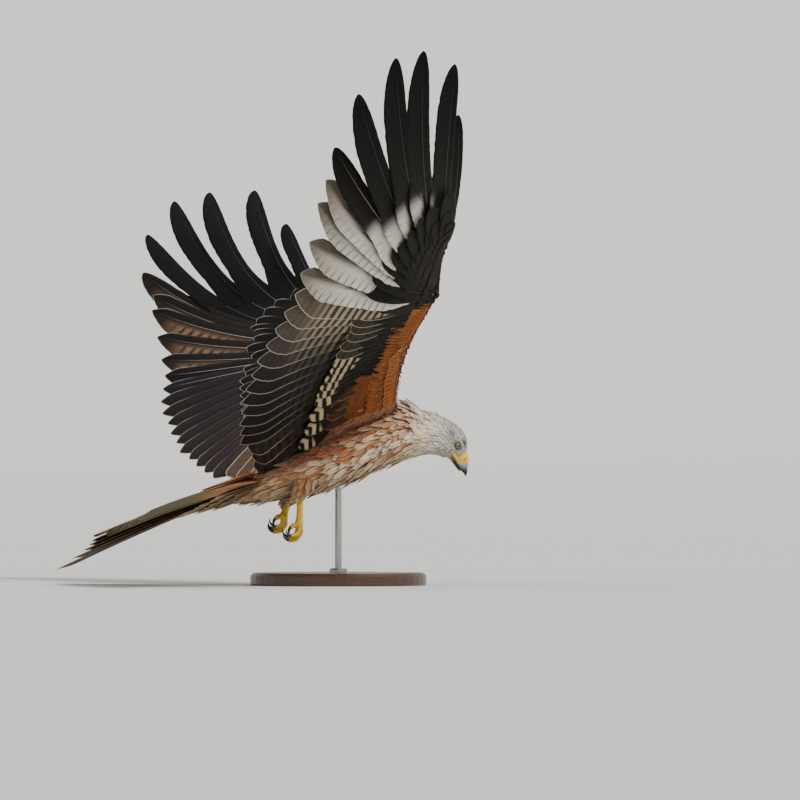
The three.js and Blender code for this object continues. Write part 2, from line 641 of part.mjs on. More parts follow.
function buildHead() {
  const eyes = [1, -1].map((mirror) => onSide(ball(EYE.centre, EYE.radius + GAP), mirror));
  const rims = [1, -1].flatMap((mirror) => [onSide(lidRing(), mirror), onSide(browRidge(), mirror)]);
  const rimSpace = [1, -1].map((mirror) => onSide(lidRing(GAP), mirror));
  const nostril = ball(v3(NOSTRIL.x, 0, NOSTRIL.z), NOSTRIL.radius, 10);
  const nostrils = [1, -1].map((side) => nostril.translate([0, side * (CERE.wide[2] - 0.8), 0]));
  const gapes = [1, -1].map((mirror) => onSide(gape(), mirror));
  const lower = middleTube(LOWER_BILL, 14);
  const lowerGrown = middleTube(LOWER_BILL, 14, GAP);
  const headShape = body(HEAD_FROM + PARTING, LAST_STATION);
  const hollows = unite([BODY_GROWN, lowerGrown, ...rimSpace, ...nostrils]);
  const cere = unite([middleTube(CERE, 16), ...gapes]).subtract(hollows);
  const tip = middleTube(UPPER_BILL, 16).subtract(lowerGrown);
  keep("head", largest(unite([headShape, ...rims]).subtract(unite(eyes))), PALE_PLUMAGE);
  keep("cere", largest(cere), YELLOW_SKIN);
  keep("bill_upper", largest(tip), HORN);
  keep("bill_lower", largest(lower.subtract(BODY_GROWN)), HORN);
  keep("eye_left", ball(EYE.centre, EYE.radius), IRIS);
  keep("eye_right", onSide(ball(EYE.centre, EYE.radius), -1), IRIS);
}

// The curl of a toe or claw: places along an arc that starts at one bearing and turns by another.
function curlPath({ from, start, turn, length, steps }) {
  const places = [from.clone()];
  for (let k = 0; k < steps; k++) {
    const bearing = radians(start + (turn * (k + 0.5)) / steps);
    const step = v3(Math.cos(bearing), 0, -Math.sin(bearing)).multiplyScalar(length / steps);
    places.push(places[k].clone().add(step));
  }
  return places;
}

function buildLeg(side, { mirror, knee, ankle, foot }) {
  const [kneeAt, ankleAt, footAt] = [knee, ankle, foot].map((p) => v3(...p));
  const across = v3(0, 1, 0);
  const thighPlaces = [0, 0.35, 0.7, 0.92, 1].map((t) => kneeAt.clone().lerp(ankleAt, t));
  const thighSizes = [0.7, 1, 0.82, 0.6, 0.5].map((s) => ({ wide: THIGH.wide * s, high: THIGH.deep * s }));
  const thigh = (grow) => tube(thighPlaces, thighSizes, across, 14, grow);
  const shank = [0, 0.2, 0.5, 0.8, 1].map((t) => {
    const forward = TARSUS.bow * Math.sin(Math.PI * t);
    return ankleAt.clone().lerp(footAt, t).add(v3(forward, 0, 0));
  });
  shank.unshift(ankleAt.clone().lerp(kneeAt, 0.25));
  const shankShares = [0.7, 0.95, 0.95, 0.92, 1, 1.15];
  const shankSizes = shankShares.map((s) => ({ wide: TARSUS.wide * s, high: TARSUS.deep * s }));
  const tarsus = tube(shank, shankSizes, across, 10);
  const toes = [ball(footAt, 6.4, 12)];
  for (const { name, aside, length, thick, start, turn, claw } of TOES) {
    const steps = 6;
    const path = curlPath({ from: footAt.clone().add(v3(0, aside, -1)), start, turn, length, steps });
    const sizes = path.map((_, k) => {
      const size = thick * (1 + 0.1 * Math.cos(k * Math.PI)) * lerp(1.1, 0.78, k / steps);
      return { wide: size, high: size };
    });
    toes.push(tube(path, sizes, across, 7));
    const clawSteps = 5;
    const from = path[steps].clone().add(path[steps].clone().sub(path[steps - 1]).setLength(CLAW_GAP));
    const clawTurn = Math.sign(turn) * CLAW_TURN;
    const clawPath = curlPath({ from, start: start + turn, turn: clawTurn, length: claw, steps: clawSteps });
    const clawSizes = clawPath.map((_, k) => {
      const size = thick * 0.6 * Math.pow(1 - k / (clawSteps + 0.35), 0.75);
      return { wide: size * 0.85, high: size };
    });
    keep(`claw_${side}_${name}`, onSide(tube(clawPath, clawSizes, across, 7), mirror), HORN);
  }
  const instep = footAt.z + INSTEP;
  const footSolid = unite(toes).trimByPlane([0, 0, -1], -instep);
  const shankSolid = tarsus.trimByPlane([0, 0, 1], instep + GAP).subtract(thigh(GAP));
  keep(`leg_${side}_thigh`, onSide(thigh(0), mirror), PLUMAGE);
  keep(`leg_${side}_tarsus`, onSide(largest(shankSolid.subtract(BODY_GROWN)), mirror), YELLOW_SKIN);
  keep(`leg_${side}_toes`, onSide(largest(footSolid), mirror), YELLOW_SKIN);
  return onSide(thigh(GAP), mirror);
}

const thighSpace = Object.entries(LEGS).map(([side, leg]) => buildLeg(side, leg));

buildHead();
keep("neck", body(NECK_FROM + PARTING, HEAD_FROM - PARTING), PALE_PLUMAGE);
keep("torso", largest(body(TORSO_FROM + PARTING, NECK_FROM - PARTING).subtract(unite(thighSpace))), PLUMAGE);
const rump = body(0, TORSO_FROM - PARTING);
const tailShape = unite([rump, tailHalf(TAIL.topmost), tailHalf(0).mirror([0, 1, 0])]);
keep("tail", largest(tailShape.subtract(body(TORSO_FROM - PARTING, 3, GAP))), PLUMAGE);
for (const [side, wing] of Object.entries(WINGS)) {
  for (const [name, solid] of Object.entries(wingParts(side, wing))) keep(name, solid, QUILLS);
}

// A named mesh from a solid.
function meshOf(name, solid, look) {
  const { numVert, numProp, vertProperties, triVerts } = solid.getMesh();
  const points = [];
  for (let i = 0; i < numVert; i++) points.push(...vertProperties.subarray(i * numProp, i * numProp + 3));
  const geometry = new THREE.BufferGeometry();
  geometry.setAttribute("position", new THREE.Float32BufferAttribute(points, 3));
  geometry.setIndex(Array.from(triVerts));
  const part = new THREE.Mesh(geometry, new THREE.MeshStandardMaterial(look));
  part.name = name;
  return part;
}

const bird = new THREE.Group();
for (const [name, solid] of Object.entries(solids)) bird.add(meshOf(name, solid, looks[name]));
const level = v3(Math.cos(radians(BANK.heading)), -Math.sin(radians(BANK.heading)), 0);
bird.quaternion.setFromAxisAngle(level, -radians(BANK.angle));
bird.position.z = SHOULDER_HEIGHT;
bird.updateMatrixWorld();

// The stand's turned base, and its rod with a collar, cut off at the underside of the banked body.
function turned(profile, sides) {
  const points = profile.map(([radius, height]) => new THREE.Vector2(radius, height));
  const geometry = new THREE.LatheGeometry(points, sides).rotateX(Math.PI / 2);
  return solidOf(geometry);
}

function standParts() {
  const { radius, height, edge } = BASE;
  const base = turned(
    [
      [0, 0],
      [radius - edge / 3, 0],
      [radius, edge / 2],
      [radius, height - edge],
      [radius - edge, height],
      [0, height],
    ],
    48,
  );
  const foot = height + GAP;
  const { radius: thin, collar, collarHeight } = ROD;
  const rod = turned(
    [
      [0, foot],
      [collar, foot],
      [collar, foot + collarHeight - 2],
      [collar - 2, foot + collarHeight],
      [thin, foot + collarHeight],
      [thin, SHOULDER_HEIGHT - 60],
      [0, SHOULDER_HEIGHT - 60],
    ],
    24,
  );
  const banked = BODY_GROWN.transform(bird.matrixWorld.elements);
  const place = (solid) => solid.translate([BASE.x, BASE.y, 0]);
  return { base: place(base), rod: largest(place(rod).subtract(banked)) };
}

const stand = new THREE.Group();
const { base, rod } = standParts();
stand.add(meshOf("stand_base", base, BASE_WOOD));
stand.add(meshOf("stand_rod", rod, ROD_STEEL));

const model = new THREE.Group();
model.add(bird, stand);
export default model;
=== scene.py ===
# A life-size model of a red kite in flight, as a museum shows it, on a plain display stand.
# Blender works in metres. The bird's own shapes are worked out in millimetres with the bird held level:
# x is the way it heads, y its left and z up. It is then banked and lifted as one.
import math

import bmesh
import bpy
import numpy as np
from mathutils import Matrix, Vector
from mathutils.kdtree import KDTree


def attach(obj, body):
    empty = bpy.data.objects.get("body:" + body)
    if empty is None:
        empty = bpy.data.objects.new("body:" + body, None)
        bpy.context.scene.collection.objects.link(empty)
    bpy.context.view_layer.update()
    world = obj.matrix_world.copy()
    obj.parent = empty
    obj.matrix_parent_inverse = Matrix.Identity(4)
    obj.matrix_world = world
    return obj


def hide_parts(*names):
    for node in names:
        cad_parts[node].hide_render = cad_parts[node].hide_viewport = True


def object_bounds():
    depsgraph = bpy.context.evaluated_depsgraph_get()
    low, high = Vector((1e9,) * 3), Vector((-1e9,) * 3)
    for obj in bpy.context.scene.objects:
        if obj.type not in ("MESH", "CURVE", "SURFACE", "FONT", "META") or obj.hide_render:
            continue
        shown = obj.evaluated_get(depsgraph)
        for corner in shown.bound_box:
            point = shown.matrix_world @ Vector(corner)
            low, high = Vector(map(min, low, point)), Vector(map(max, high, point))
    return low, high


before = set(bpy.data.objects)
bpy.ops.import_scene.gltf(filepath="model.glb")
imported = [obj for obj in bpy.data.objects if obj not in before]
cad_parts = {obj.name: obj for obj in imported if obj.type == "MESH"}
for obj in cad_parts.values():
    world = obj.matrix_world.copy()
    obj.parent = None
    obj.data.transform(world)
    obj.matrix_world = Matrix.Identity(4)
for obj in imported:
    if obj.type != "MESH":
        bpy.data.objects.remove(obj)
cad_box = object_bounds()
scene = bpy.context.scene


# The view
# A bird in the air is taken with a long lens. The camera stands twenty metres off, level with the bird, and
# looks a little forward over its right side.
SHOULDERS = Vector((0, 0, 0.246))
VIEW_WAY = Vector((0.2334, 0.9724, 0))
VIEW_RIGHT = Vector((0.9724, -0.2334, 0))
VIEW_DISTANCE = 20
VIEW_ASIDE = 0.0156
VIEW_LIFT = 0.017
LENS = 633.8

camera_data = bpy.data.cameras.new("camera")
camera_data.lens = LENS
camera_data.clip_end = 200
camera = bpy.data.objects.new("camera", camera_data)
camera.location = SHOULDERS - VIEW_DISTANCE * VIEW_WAY + VIEW_ASIDE * VIEW_RIGHT + Vector((0, 0, VIEW_LIFT))
camera.rotation_mode = "QUATERNION"
camera.rotation_quaternion = VIEW_WAY.to_track_quat("-Z", "Y")
scene.collection.objects.link(camera)
scene.camera = camera


# The studio
# A sweep of pale paper, flat for thirty metres round the stand and then curving up, so that no edge shows.
# A broad soft light comes from high on the right of the view, and the paper and sky fill the shadows.
SWEEP_FLAT = 30
SWEEP_CURVE = 9
SWEEP_TOP = 15


def linear(colour):
    """An sRGB hex colour as linear red, green, blue and one."""
    values = [int(colour[k : k + 2], 16) / 255 for k in (1, 3, 5)]
    return (*[v / 12.92 if v <= 0.04045 else ((v + 0.055) / 1.055) ** 2.4 for v in values], 1.0)


def add(tree, kind, settings=None, inputs=None):
    """Adds a node with its settings. An input is set, or linked to a socket or to a node's first output."""
    made = tree.nodes.new(kind)
    for name, value in (settings or {}).items():
        setattr(made, name, value)
    for name, value in (inputs or {}).items():
        by_name = (socket for socket in made.inputs if socket.enabled and socket.name == name)
        place = made.inputs[name] if isinstance(name, int) else next(by_name)
        if isinstance(value, bpy.types.Node):
            value = next(socket for socket in value.outputs if socket.enabled)
        if isinstance(value, bpy.types.NodeSocket):
            tree.links.new(value, place)
        else:
            place.default_value = value
    return made


# What a mix node is set to where it mixes, multiplies or overlays colours.
RGBA = {"data_type": "RGBA"}
MULTIPLIED = RGBA | {"blend_type": "MULTIPLY"}
OVERLAID = RGBA | {"blend_type": "OVERLAY"}


def new_material(name, **settings):
    """A material, its node tree and its shader, with the shader's own sockets set by name."""
    material = bpy.data.materials.new(name)
    material.use_nodes = True
    shader = material.node_tree.nodes["Principled BSDF"]
    for socket, value in settings.items():
        shader.inputs[socket.replace("_", " ")].default_value = value
    return material, material.node_tree, shader


def set_look(tree, shader, tone, relief=None, strength=0.0, depth=0.0):
    """Gives a shader its colour and, where a height is given, a relief so many metres deep."""
    tree.links.new(next(socket for socket in tone.outputs if socket.enabled), shader.inputs["Base Color"])
    if relief:
        bump = add(tree, "ShaderNodeBump", inputs={"Height": relief, "Strength": strength, "Distance": depth})
        tree.links.new(bump.outputs["Normal"], shader.inputs["Normal"])


def new_object(name, points, faces, material, outward=True):
    """A smooth mesh object from points in metres and faces. Each closed surface is turned outwards."""
    mesh = bpy.data.meshes.new(name)
    mesh.from_pydata([tuple(point) for point in points], [], [tuple(face) for face in faces])
    if outward:
        shape = bmesh.new()
        shape.from_mesh(mesh)
        bmesh.ops.recalc_face_normals(shape, faces=shape.faces)
        shape.to_mesh(mesh)
        shape.free()
    mesh.polygons.foreach_set("use_smooth", [True] * len(mesh.polygons))
    mesh.materials.append(material)
    made = bpy.data.objects.new(name, mesh)
    scene.collection.objects.link(made)
    return made


# Matt paper: no gloss, and a tooth too fine to see, so only a faint cloudiness over metres is drawn.
paper, tree, shader = new_material("matt_paper_sweep", Roughness=0.95)
where = add(tree, "ShaderNodeTexCoord").outputs["Object"]
cloud = add(tree, "ShaderNodeTexNoise", inputs={"Vector": where, "Scale": 0.4})
tone = add(tree, "ShaderNodeMix", RGBA, {0: cloud, 6: linear("#dedcd7"), 7: linear("#e3e1dc")})
set_look(tree, shader, tone)

profile = [(0, 0), (SWEEP_FLAT, 0)]
for k in range(1, 9):
    turn = math.radians(90) * k / 8
    profile.append((SWEEP_FLAT + SWEEP_CURVE * math.sin(turn), SWEEP_CURVE * (1 - math.cos(turn))))
profile.append((SWEEP_FLAT + SWEEP_CURVE, SWEEP_TOP))
SWEEP_SIDES = 96
points = [(0, 0, 0)]
for radius, height in profile[1:]:
    for k in range(SWEEP_SIDES):
        turn = 2 * math.pi * k / SWEEP_SIDES
        points.append((radius * math.cos(turn), radius * math.sin(turn), height))
faces = [(0, 1 + k, 1 + (k + 1) % SWEEP_SIDES) for k in range(SWEEP_SIDES)]
for ring in range(len(profile) - 2):
    for k in range(SWEEP_SIDES):
        low = 1 + ring * SWEEP_SIDES
        high = low + SWEEP_SIDES
        beside = (k + 1) % SWEEP_SIDES
        faces.append((low + k, high + k, high + beside, low + beside))
sweep = new_object("floor_sweep", points, faces, paper, outward=False)

world = bpy.data.worlds.new("studio")
world.use_nodes = True
world.node_tree.nodes["Background"].inputs["Color"].default_value = linear("#f4f6fa")
world.node_tree.nodes["Background"].inputs["Strength"].default_value = 0.62
scene.world = world


def soft_light(name, towards, strength, softness):
    """A broad light that shines along a way."""
    data = bpy.data.lights.new(name, "SUN")
    data.energy = strength
    data.angle = math.radians(softness)
    lamp = bpy.data.objects.new(name, data)
    lamp.rotation_mode = "QUATERNION"
    lamp.rotation_quaternion = towards.normalized().to_track_quat("-Z", "Y")
    scene.collection.objects.link(lamp)


soft_light("key_light", -0.62 * VIEW_RIGHT + 0.55 * VIEW_WAY - Vector((0, 0, 0.95)), 2.7, 22)
soft_light("fill_light", 0.8 * VIEW_RIGHT - 0.1 * VIEW_WAY - Vector((0, 0, 0.5)), 0.45, 40)


# The stand
# A turned hardwood base, stained dark and satin lacquered, carries one brushed steel rod with a collar. The
# rod goes up into the manikin under the belly.
# Walnut-stained beech under satin lacquer: fine straight grain across a dark brown, with a soft even gloss.
# The growth rings are about 3 mm apart, and the pores are streaks along the grain.
wood, tree, shader = new_material(
    "stained_beech_base", Roughness=0.42, Coat_Weight=0.35, Coat_Roughness=0.28
)
where = add(tree, "ShaderNodeTexCoord").outputs["Object"]
along_grain = add(tree, "ShaderNodeMapping", inputs={"Vector": where, "Scale": (14, 330, 330)})
grain = add(
    tree, "ShaderNodeTexNoise", inputs={"Vector": along_grain, "Scale": 1, "Detail": 4, "Distortion": 0.6}
)
pores = add(tree, "ShaderNodeMapping", inputs={"Vector": where, "Scale": (90, 1500, 1500)})
pore = add(tree, "ShaderNodeTexNoise", inputs={"Vector": pores, "Scale": 1, "Detail": 1})
dark_pore = add(tree, "ShaderNodeMapRange", inputs={"Value": pore, "From Min": 0.58, "From Max": 0.72})
tone = add(tree, "ShaderNodeMix", RGBA, {0: grain, 6: linear("#2e1d13"), 7: linear("#5f4029")})
with_pores = add(tree, "ShaderNodeMix", RGBA, {0: dark_pore, 6: tone, 7: linear("#24160e")})
set_look(tree, shader, with_pores, pore, 0.25, 0.0003)

# Brushed stainless steel: fine lines round the rod, drawn 0.4 mm apart, and a broad soft glint.
steel, tree, shader = new_material("brushed_steel_rod", Metallic=1.0)
where = add(tree, "ShaderNodeTexCoord").outputs["Object"]
stretched = add(tree, "ShaderNodeMapping", inputs={"Vector": where, "Scale": (60, 60, 2500)})
lines = add(tree, "ShaderNodeTexNoise", inputs={"Vector": stretched, "Scale": 1, "Detail": 3})
rough = add(tree, "ShaderNodeMapRange", inputs={"Value": lines, "To Min": 0.24, "To Max": 0.42})
tone = add(tree, "ShaderNodeMix", RGBA, {0: lines, 6: linear("#a9abad"), 7: linear("#c6c7c8")})
tree.links.new(rough.outputs["Result"], shader.inputs["Roughness"])
set_look(tree, shader, tone)

for node, material in (("stand_base", wood), ("stand_rod", steel)):
    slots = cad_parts[node].material_slots
    slots[0].material = material


# The manikin's body
# A taxidermist stretches the cleaned skin over a carved form. This is that skin, bare of feathers: one closed
# surface over body, neck, head, thighs, wing flesh and the root of the tail. It lies inside the coat.
BANK_TURN = -8.7
BANK_HEADING = 13.5
SHOULDER_HEIGHT = 246

# From rump to face: x, z, lean of the section in degrees, and its reach up, down and sideways.
BODY_STATIONS = [
    (-214, -122, 20, 13, 17, 21),
    (-175, -109, 23, 24, 27, 34),
    (-117, -88, 23, 36, 37, 47),
    (-60, -63, 22, 42, 42, 55),
    (-6, -37, 18, 43, 43, 54),
    (31, -26.5, 4, 41.5, 42, 43),
    (48, -30.5, -8, 35.5, 35, 34),
    (64, -32.5, -22, 33, 31.5, 28.5),
    (84, -40, -42, 29, 26, 25),
    (97, -49.5, -48, 22, 19.5, 21.5),
    (104, -57.5, -56, 12, 12, 13),
    (106, -60.5, -60, 7, 7, 7),
]
LAST_STATION = len(BODY_STATIONS) - 1
# How deep the coat is at each station: thick on the breast and belly, thin on the face.
COAT_DEPTH = [4, 6, 7, 7, 7, 6, 5, 3.4, 1.6, 1.1, 0.8, 0.7]

heading = math.radians(BANK_HEADING)
BANK = np.array(
    Matrix.Rotation(math.radians(BANK_TURN), 3, Vector((math.cos(heading), -math.sin(heading), 0)))
)


def placed(points):
    """Points of the level bird in millimetres, banked and lifted, in metres."""
    return (np.asarray(points, float) @ BANK.T + (0, 0, SHOULDER_HEIGHT)) / 1000


def unit(vectors):
    vectors = np.asarray(vectors, float)
    return vectors / np.maximum(np.linalg.norm(vectors, axis=-1, keepdims=True), 1e-9)


def lerp(start, end, share):
    return start + (end - start) * share


def smooth(value, low, high):
    """0 below low, 1 above high, and an easy curve between."""
    share = np.clip((np.asarray(value, float) - low) / (high - low), 0, 1)
    return share * share * (3 - 2 * share)


def along(values, index):
    """Values read at fractional indices, along a smooth curve through them."""
    values = np.asarray(values, float)
    index = np.asarray(index, float)
    i = np.clip(np.floor(index).astype(int), 0, len(values) - 2)
    t = np.clip(index - i, 0, 1)
    before, here, after, beyond = (values[np.clip(i + k, 0, len(values) - 1)] for k in (-1, 0, 1, 2))
    start_slope = (after - before) / 2
    end_slope = (beyond - here) / 2
    ends = (2 * t**3 - 3 * t**2 + 1) * here + (3 * t**2 - 2 * t**3) * after
    return ends + (t**3 - 2 * t**2 + t) * start_slope + (t**3 - t**2) * end_slope


def body_at(station, turn, grow=0.0):
    """Points of the body's surface. A turn of 0 is its left side, and a quarter turn its back."""
    x, z, lean, up, down, wide = (along([s[k] for s in BODY_STATIONS], station) for k in range(6))
    lean = np.radians(lean)
    rise = np.sin(turn) * (np.where(np.sin(turn) > 0, up, down) + grow)
    return np.stack([x - np.sin(lean) * rise, np.cos(turn) * (wide + grow), z + np.cos(lean) * rise], axis=-1)


def ring_faces(rows, sides, first=0):
    """Faces of a skin over rings of points, closed at both ends."""
    index = first + np.arange(rows * sides).reshape(rows, sides)
    low, high = index[:-1], index[1:]
    quads = np.stack([low, np.roll(low, -1, 1), np.roll(high, -1, 1), high], axis=-1).reshape(-1, 4)
    return [*quads.tolist(), index[0][::-1].tolist(), index[-1].tolist()]


def join_tubes(tubes):
    """Many skins over rings as one list of points and one of faces."""
    points = []
    faces = []
    for rings in tubes:
        rings = np.asarray(rings, float)
        faces += ring_faces(rings.shape[0], rings.shape[1], sum(len(p) for p in points))
        points.append(rings.reshape(-1, 3))
    return np.concatenate(points), faces


def tube(places, wide, high, side, sides):
    """Oval rings along a list of places. side is the sideways way of every ring."""
    places = np.asarray(places, float)
    way = unit(np.gradient(places, axis=0))
    up = unit(np.cross(way, side))
    turn = (np.arange(sides) + 0.5) / sides * 2 * np.pi
    across = np.asarray(wide, float)[:, None, None] * np.cos(turn)[None, :, None] * np.asarray(side, float)
    over = np.asarray(high, float)[:, None, None] * np.sin(turn)[None, :, None] * up[:, None, :]
    return places[:, None, :] + across + over

# The wing's bones, and where the flight feathers are rooted along them. A place along the wing is a number q,
# counted in feathers: 0 at the wrist, growing outwards.
SHOULDER = np.array([0, 50, 0])
ELBOW = np.array([-60, 150, 52])
FOREARM_LENGTH = 154
HAND_LENGTH = 95
WING_ROOT_FRONT = np.array([12, 30, 2])
WING_ROOT_BACK = np.array([-92, 30, -38])
LEADING_EDGE_BOW = 28
PRIMARIES = 10
SECONDARIES = 12
TERTIALS = 5
ELBOW_Q = -SECONDARIES
ROOT_Q = -SECONDARIES - TERTIALS
PRIMARY_LENGTHS = [289, 309, 341, 349, 381, 431, 437, 407, 342, 232]
PRIMARY_ANGLES = [56.7, 49.1, 40.9, 36.9, 32, 23.2, 14.4, 8.4, 0, -3.7]
SECONDARY_LENGTHS = (282, 227)
SECONDARY_ANGLES = (4.5, -50)
SECONDARY_LIFTS = (5, -4)
TERTIAL_LENGTHS = (214, 128)
TERTIAL_ANGLES = (-53, -60)
OUTER_ROOTS_FORWARD = 8
WRIST_FRONT = 11
# What differs between the wings: side, and in degrees the wing's raise, the lift of its trailing edge and the
# forward turn of its primaries.
WINGS = {"right": (-1, -1, 3, 1.2), "left": (1, 1, -3, -1)}


def frame_of(raised, pitched, swept):
    """The ways forward, outward and up of a turned frame."""
    turns = [
        Matrix.Rotation(math.radians(angle), 3, axis)
        for angle, axis in ((raised, "X"), (pitched, "Y"), (swept, "Z"))
    ]
    return np.array(turns[0] @ turns[1] @ turns[2]).T


ARM_FORWARD, ARM_OUTWARD, ARM_UP = frame_of(22.4, -26.6, -24.9)
HAND_FORWARD, HAND_OUTWARD, HAND_UP = frame_of(44.8, -29.2, 8.6)
WRIST = ELBOW + ARM_OUTWARD * FOREARM_LENGTH
HAND_END = WRIST + HAND_OUTWARD * HAND_LENGTH


def root_height(q):
    """How high over the line of bones a flight feather is rooted."""
    rise = 2 * float(smooth(q, -1, 1.5))
    return rise - 1.1 * max(q - 1.5, 0) if q >= 0 else rise + 0.35 * max(-q - 5, 0)


def bone_at(q):
    if q >= 0:
        return lerp(WRIST, HAND_END, max(q - 0.5, 0) / (PRIMARIES - 1))
    if q >= ELBOW_Q:
        return lerp(WRIST, ELBOW, q / ELBOW_Q)
    return lerp(ELBOW, WING_ROOT_BACK, (q - ELBOW_Q) / (ROOT_Q - ELBOW_Q))


def up_at(q):
    return unit(lerp(ARM_UP, HAND_UP, float(smooth(q, -2.5, 2.5))))


def feather_at(q, wing="left"):
    """Root, way and length of the flight feather at q."""
    _, _, trailing, spread = WINGS[wing]
    place = bone_at(q)
    if q >= 0:
        angle = math.radians(along(PRIMARY_ANGLES, q - 0.5) - spread * float(smooth(q, 0, 7)))
        way = HAND_OUTWARD * math.cos(angle) - HAND_FORWARD * math.sin(angle)
        forward = HAND_FORWARD * OUTER_ROOTS_FORWARD * float(smooth(q, 5, PRIMARIES))
        reach = way * float(along(PRIMARY_LENGTHS, q - 0.5)) - forward
        return place + forward, unit(reach), float(np.linalg.norm(reach))
    share = (-q - 0.5) / (SECONDARIES - 1)
    inner = (q - ELBOW_Q) / (ROOT_Q - ELBOW_Q)
    angles, at = (TERTIAL_ANGLES, inner) if q < ELBOW_Q else (SECONDARY_ANGLES, share)
    lengths = TERTIAL_LENGTHS if q < ELBOW_Q else SECONDARY_LENGTHS
    angle = math.radians(lerp(*angles, at))
    lift = math.radians(lerp(*SECONDARY_LIFTS, share) + trailing * min(share, 1))
    way = -ARM_FORWARD * math.cos(angle) + ARM_OUTWARD * math.sin(angle) + ARM_UP * math.sin(lift)
    return place, unit(way), lerp(*lengths, at)


def front_at(q):
    """The leading edge in front of the bones."""
    wrist_front = WRIST + HAND_FORWARD * WRIST_FRONT
    if q >= 0:
        return bone_at(q) + HAND_FORWARD * lerp(WRIST_FRONT, 6, q / PRIMARIES)
    share = (q / ROOT_Q) ** 1.25
    bow = ARM_FORWARD * LEADING_EDGE_BOW * math.sin(math.pi * share)
    return lerp(wrist_front, WING_ROOT_FRONT, share) - bow


def flesh_depth(q):
    return lerp(12, 5.5, float(smooth(q, ROOT_Q, PRIMARIES)))


def flesh_back(q):
    """How far the flesh runs on behind the bones."""
    return lerp(20, 9, float(smooth(q, 0, PRIMARIES)))


def flesh_swell(q, share):
    """Half the flesh's thickness, from 0 at its leading edge to 1 at its back."""
    share = np.clip(share, 0, 1)
    return flesh_depth(q) * (0.22 + 0.78 * np.sin(np.pi * (0.03 + 0.94 * share) ** 0.62))


def on_side(points, wing):
    """Points of a level left wing, raised and put on the wing's own side."""
    side, raised, _, _ = WINGS[wing]
    turn = np.array(Matrix.Rotation(math.radians(raised), 3, "X"))
    return ((np.asarray(points, float) - SHOULDER) @ turn.T + SHOULDER) * (1, side, 1)


# How deep the skin lies in the wings' flesh and in the thighs, under the coat. A wing's flesh is a little
# thinner below the bones than above them.
FLESH_INSET = 2.2
THIGH_INSET = 4
FLESH_UNDER = 0.9


def flesh_at(q, wing, share):
    """The middle of the skinned flesh at shares of the way back, and the way from it up to the skin."""
    place, way, _ = feather_at(q, wing)
    front, back, up = front_at(q), place + way * flesh_back(q), up_at(q)
    middle = lerp(front, back, share[:, None]) + up * 0.8 * root_height(q)
    return middle, np.maximum(flesh_swell(q, share) - FLESH_INSET, 0.8)[:, None] * up


def wing_flesh(wing):
    rings = []
    for q in np.linspace(PRIMARIES - 0.2, ROOT_Q - 1.5, 44):
        middle, swell = flesh_at(q, wing, np.linspace(0.08, 0.94, 10))
        rings.append(np.concatenate([middle + swell, (middle - FLESH_UNDER * swell)[::-1]]))
    return on_side(rings, wing)


# The thighs hang from the rump, each from knee to ankle, thick with feathers.
LEGS = {
    "right": (-1, (-122, 31, -92), (-138, 30, -126), (-138, 29, -170)),
    "left": (1, (-124, 31, -90), (-142, 30, -125), (-147, 29, -150)),
}
THIGH_SIZES = ((0, 0.35, 0.7, 0.92, 1), (0.7, 1, 0.82, 0.6, 0.5))
THIGH_WIDE = 13
THIGH_DEEP = 17


def thigh_rings(leg):
    side, knee, ankle, _ = LEGS[leg]
    share, size = (np.array(values) for values in THIGH_SIZES)
    places = lerp(np.array(knee), np.array(ankle), share[:, None]) * (1, side, 1)
    return tube(places, THIGH_WIDE * size - THIGH_INSET, THIGH_DEEP * size - THIGH_INSET, (0, 1, 0), 16)


# The eyes look out and a little forward, under a ridge of brow.
EYE_CENTRE = np.array([94.5, 16.6, -47.5])
EYE_OUT = unit([0.28, 0.93, -0.22])
BROW_WAY = unit([0.62, 0.12, -0.77])
BROW_LIFT = 5.4
BROW_THICK = 1.9


def brow_rings(side):
    over = -unit(np.cross(EYE_OUT, BROW_WAY))
    t = np.linspace(-1, 1, 13)
    places = EYE_CENTRE + EYE_OUT * 3.4 + 9 * t[:, None] * BROW_WAY + (BROW_LIFT - 1.9 * t**2)[:, None] * over
    thick = BROW_THICK * np.sqrt(1.05 - t**2)
    return tube(places, thick, thick, EYE_OUT, 12) * (1, side, 1)


# Bare tanned skin with down on it, in the coat's own tones, so that what shows between feathers is theirs.
# It is drawn darker than the coat, as painted shade in the gaps.
SKIN_GRAIN = 0.0022
down, tree, shader = new_material("downy_skin", Roughness=0.95, Sheen_Weight=0.3, Sheen_Roughness=0.6)
where = add(tree, "ShaderNodeTexCoord").outputs["Object"]
fluff = add(
    tree,
    "ShaderNodeTexNoise",
    inputs={"Vector": where, "Scale": 1 / SKIN_GRAIN, "Detail": 3, "Roughness": 0.7},
)
marking = add(tree, "ShaderNodeAttribute", {"attribute_name": "ground"})
shaded = add(tree, "ShaderNodeMix", MULTIPLIED, {0: 0.5, 6: marking, 7: fluff.outputs["Color"]})
set_look(tree, shader, shaded, fluff, 0.7, 0.0006)

SKIN_VOXEL = 1.8
stations = np.arange(0, LAST_STATION + 0.01, 0.2)
turns = np.arange(48) / 48 * 2 * np.pi
inset = -along(COAT_DEPTH, stations)[:, None]
body_rings = body_at(stations[:, None], turns[None, :], inset)
tubes = [body_rings, *[brow_rings(side) for side in (1, -1)], *[thigh_rings(leg) for leg in LEGS]]
tubes += [wing_flesh(wing) for wing in WINGS]


def made_plain(rough, name):
    """The evaluated object as a plain mesh object, in place of the rough one."""
    graph = bpy.context.evaluated_depsgraph_get()
    mesh = bpy.data.meshes.new_from_object(rough.evaluated_get(graph), depsgraph=graph)
    made = bpy.data.objects.new(name, mesh)
    scene.collection.objects.link(made)
    bpy.data.objects.remove(rough)
    return made


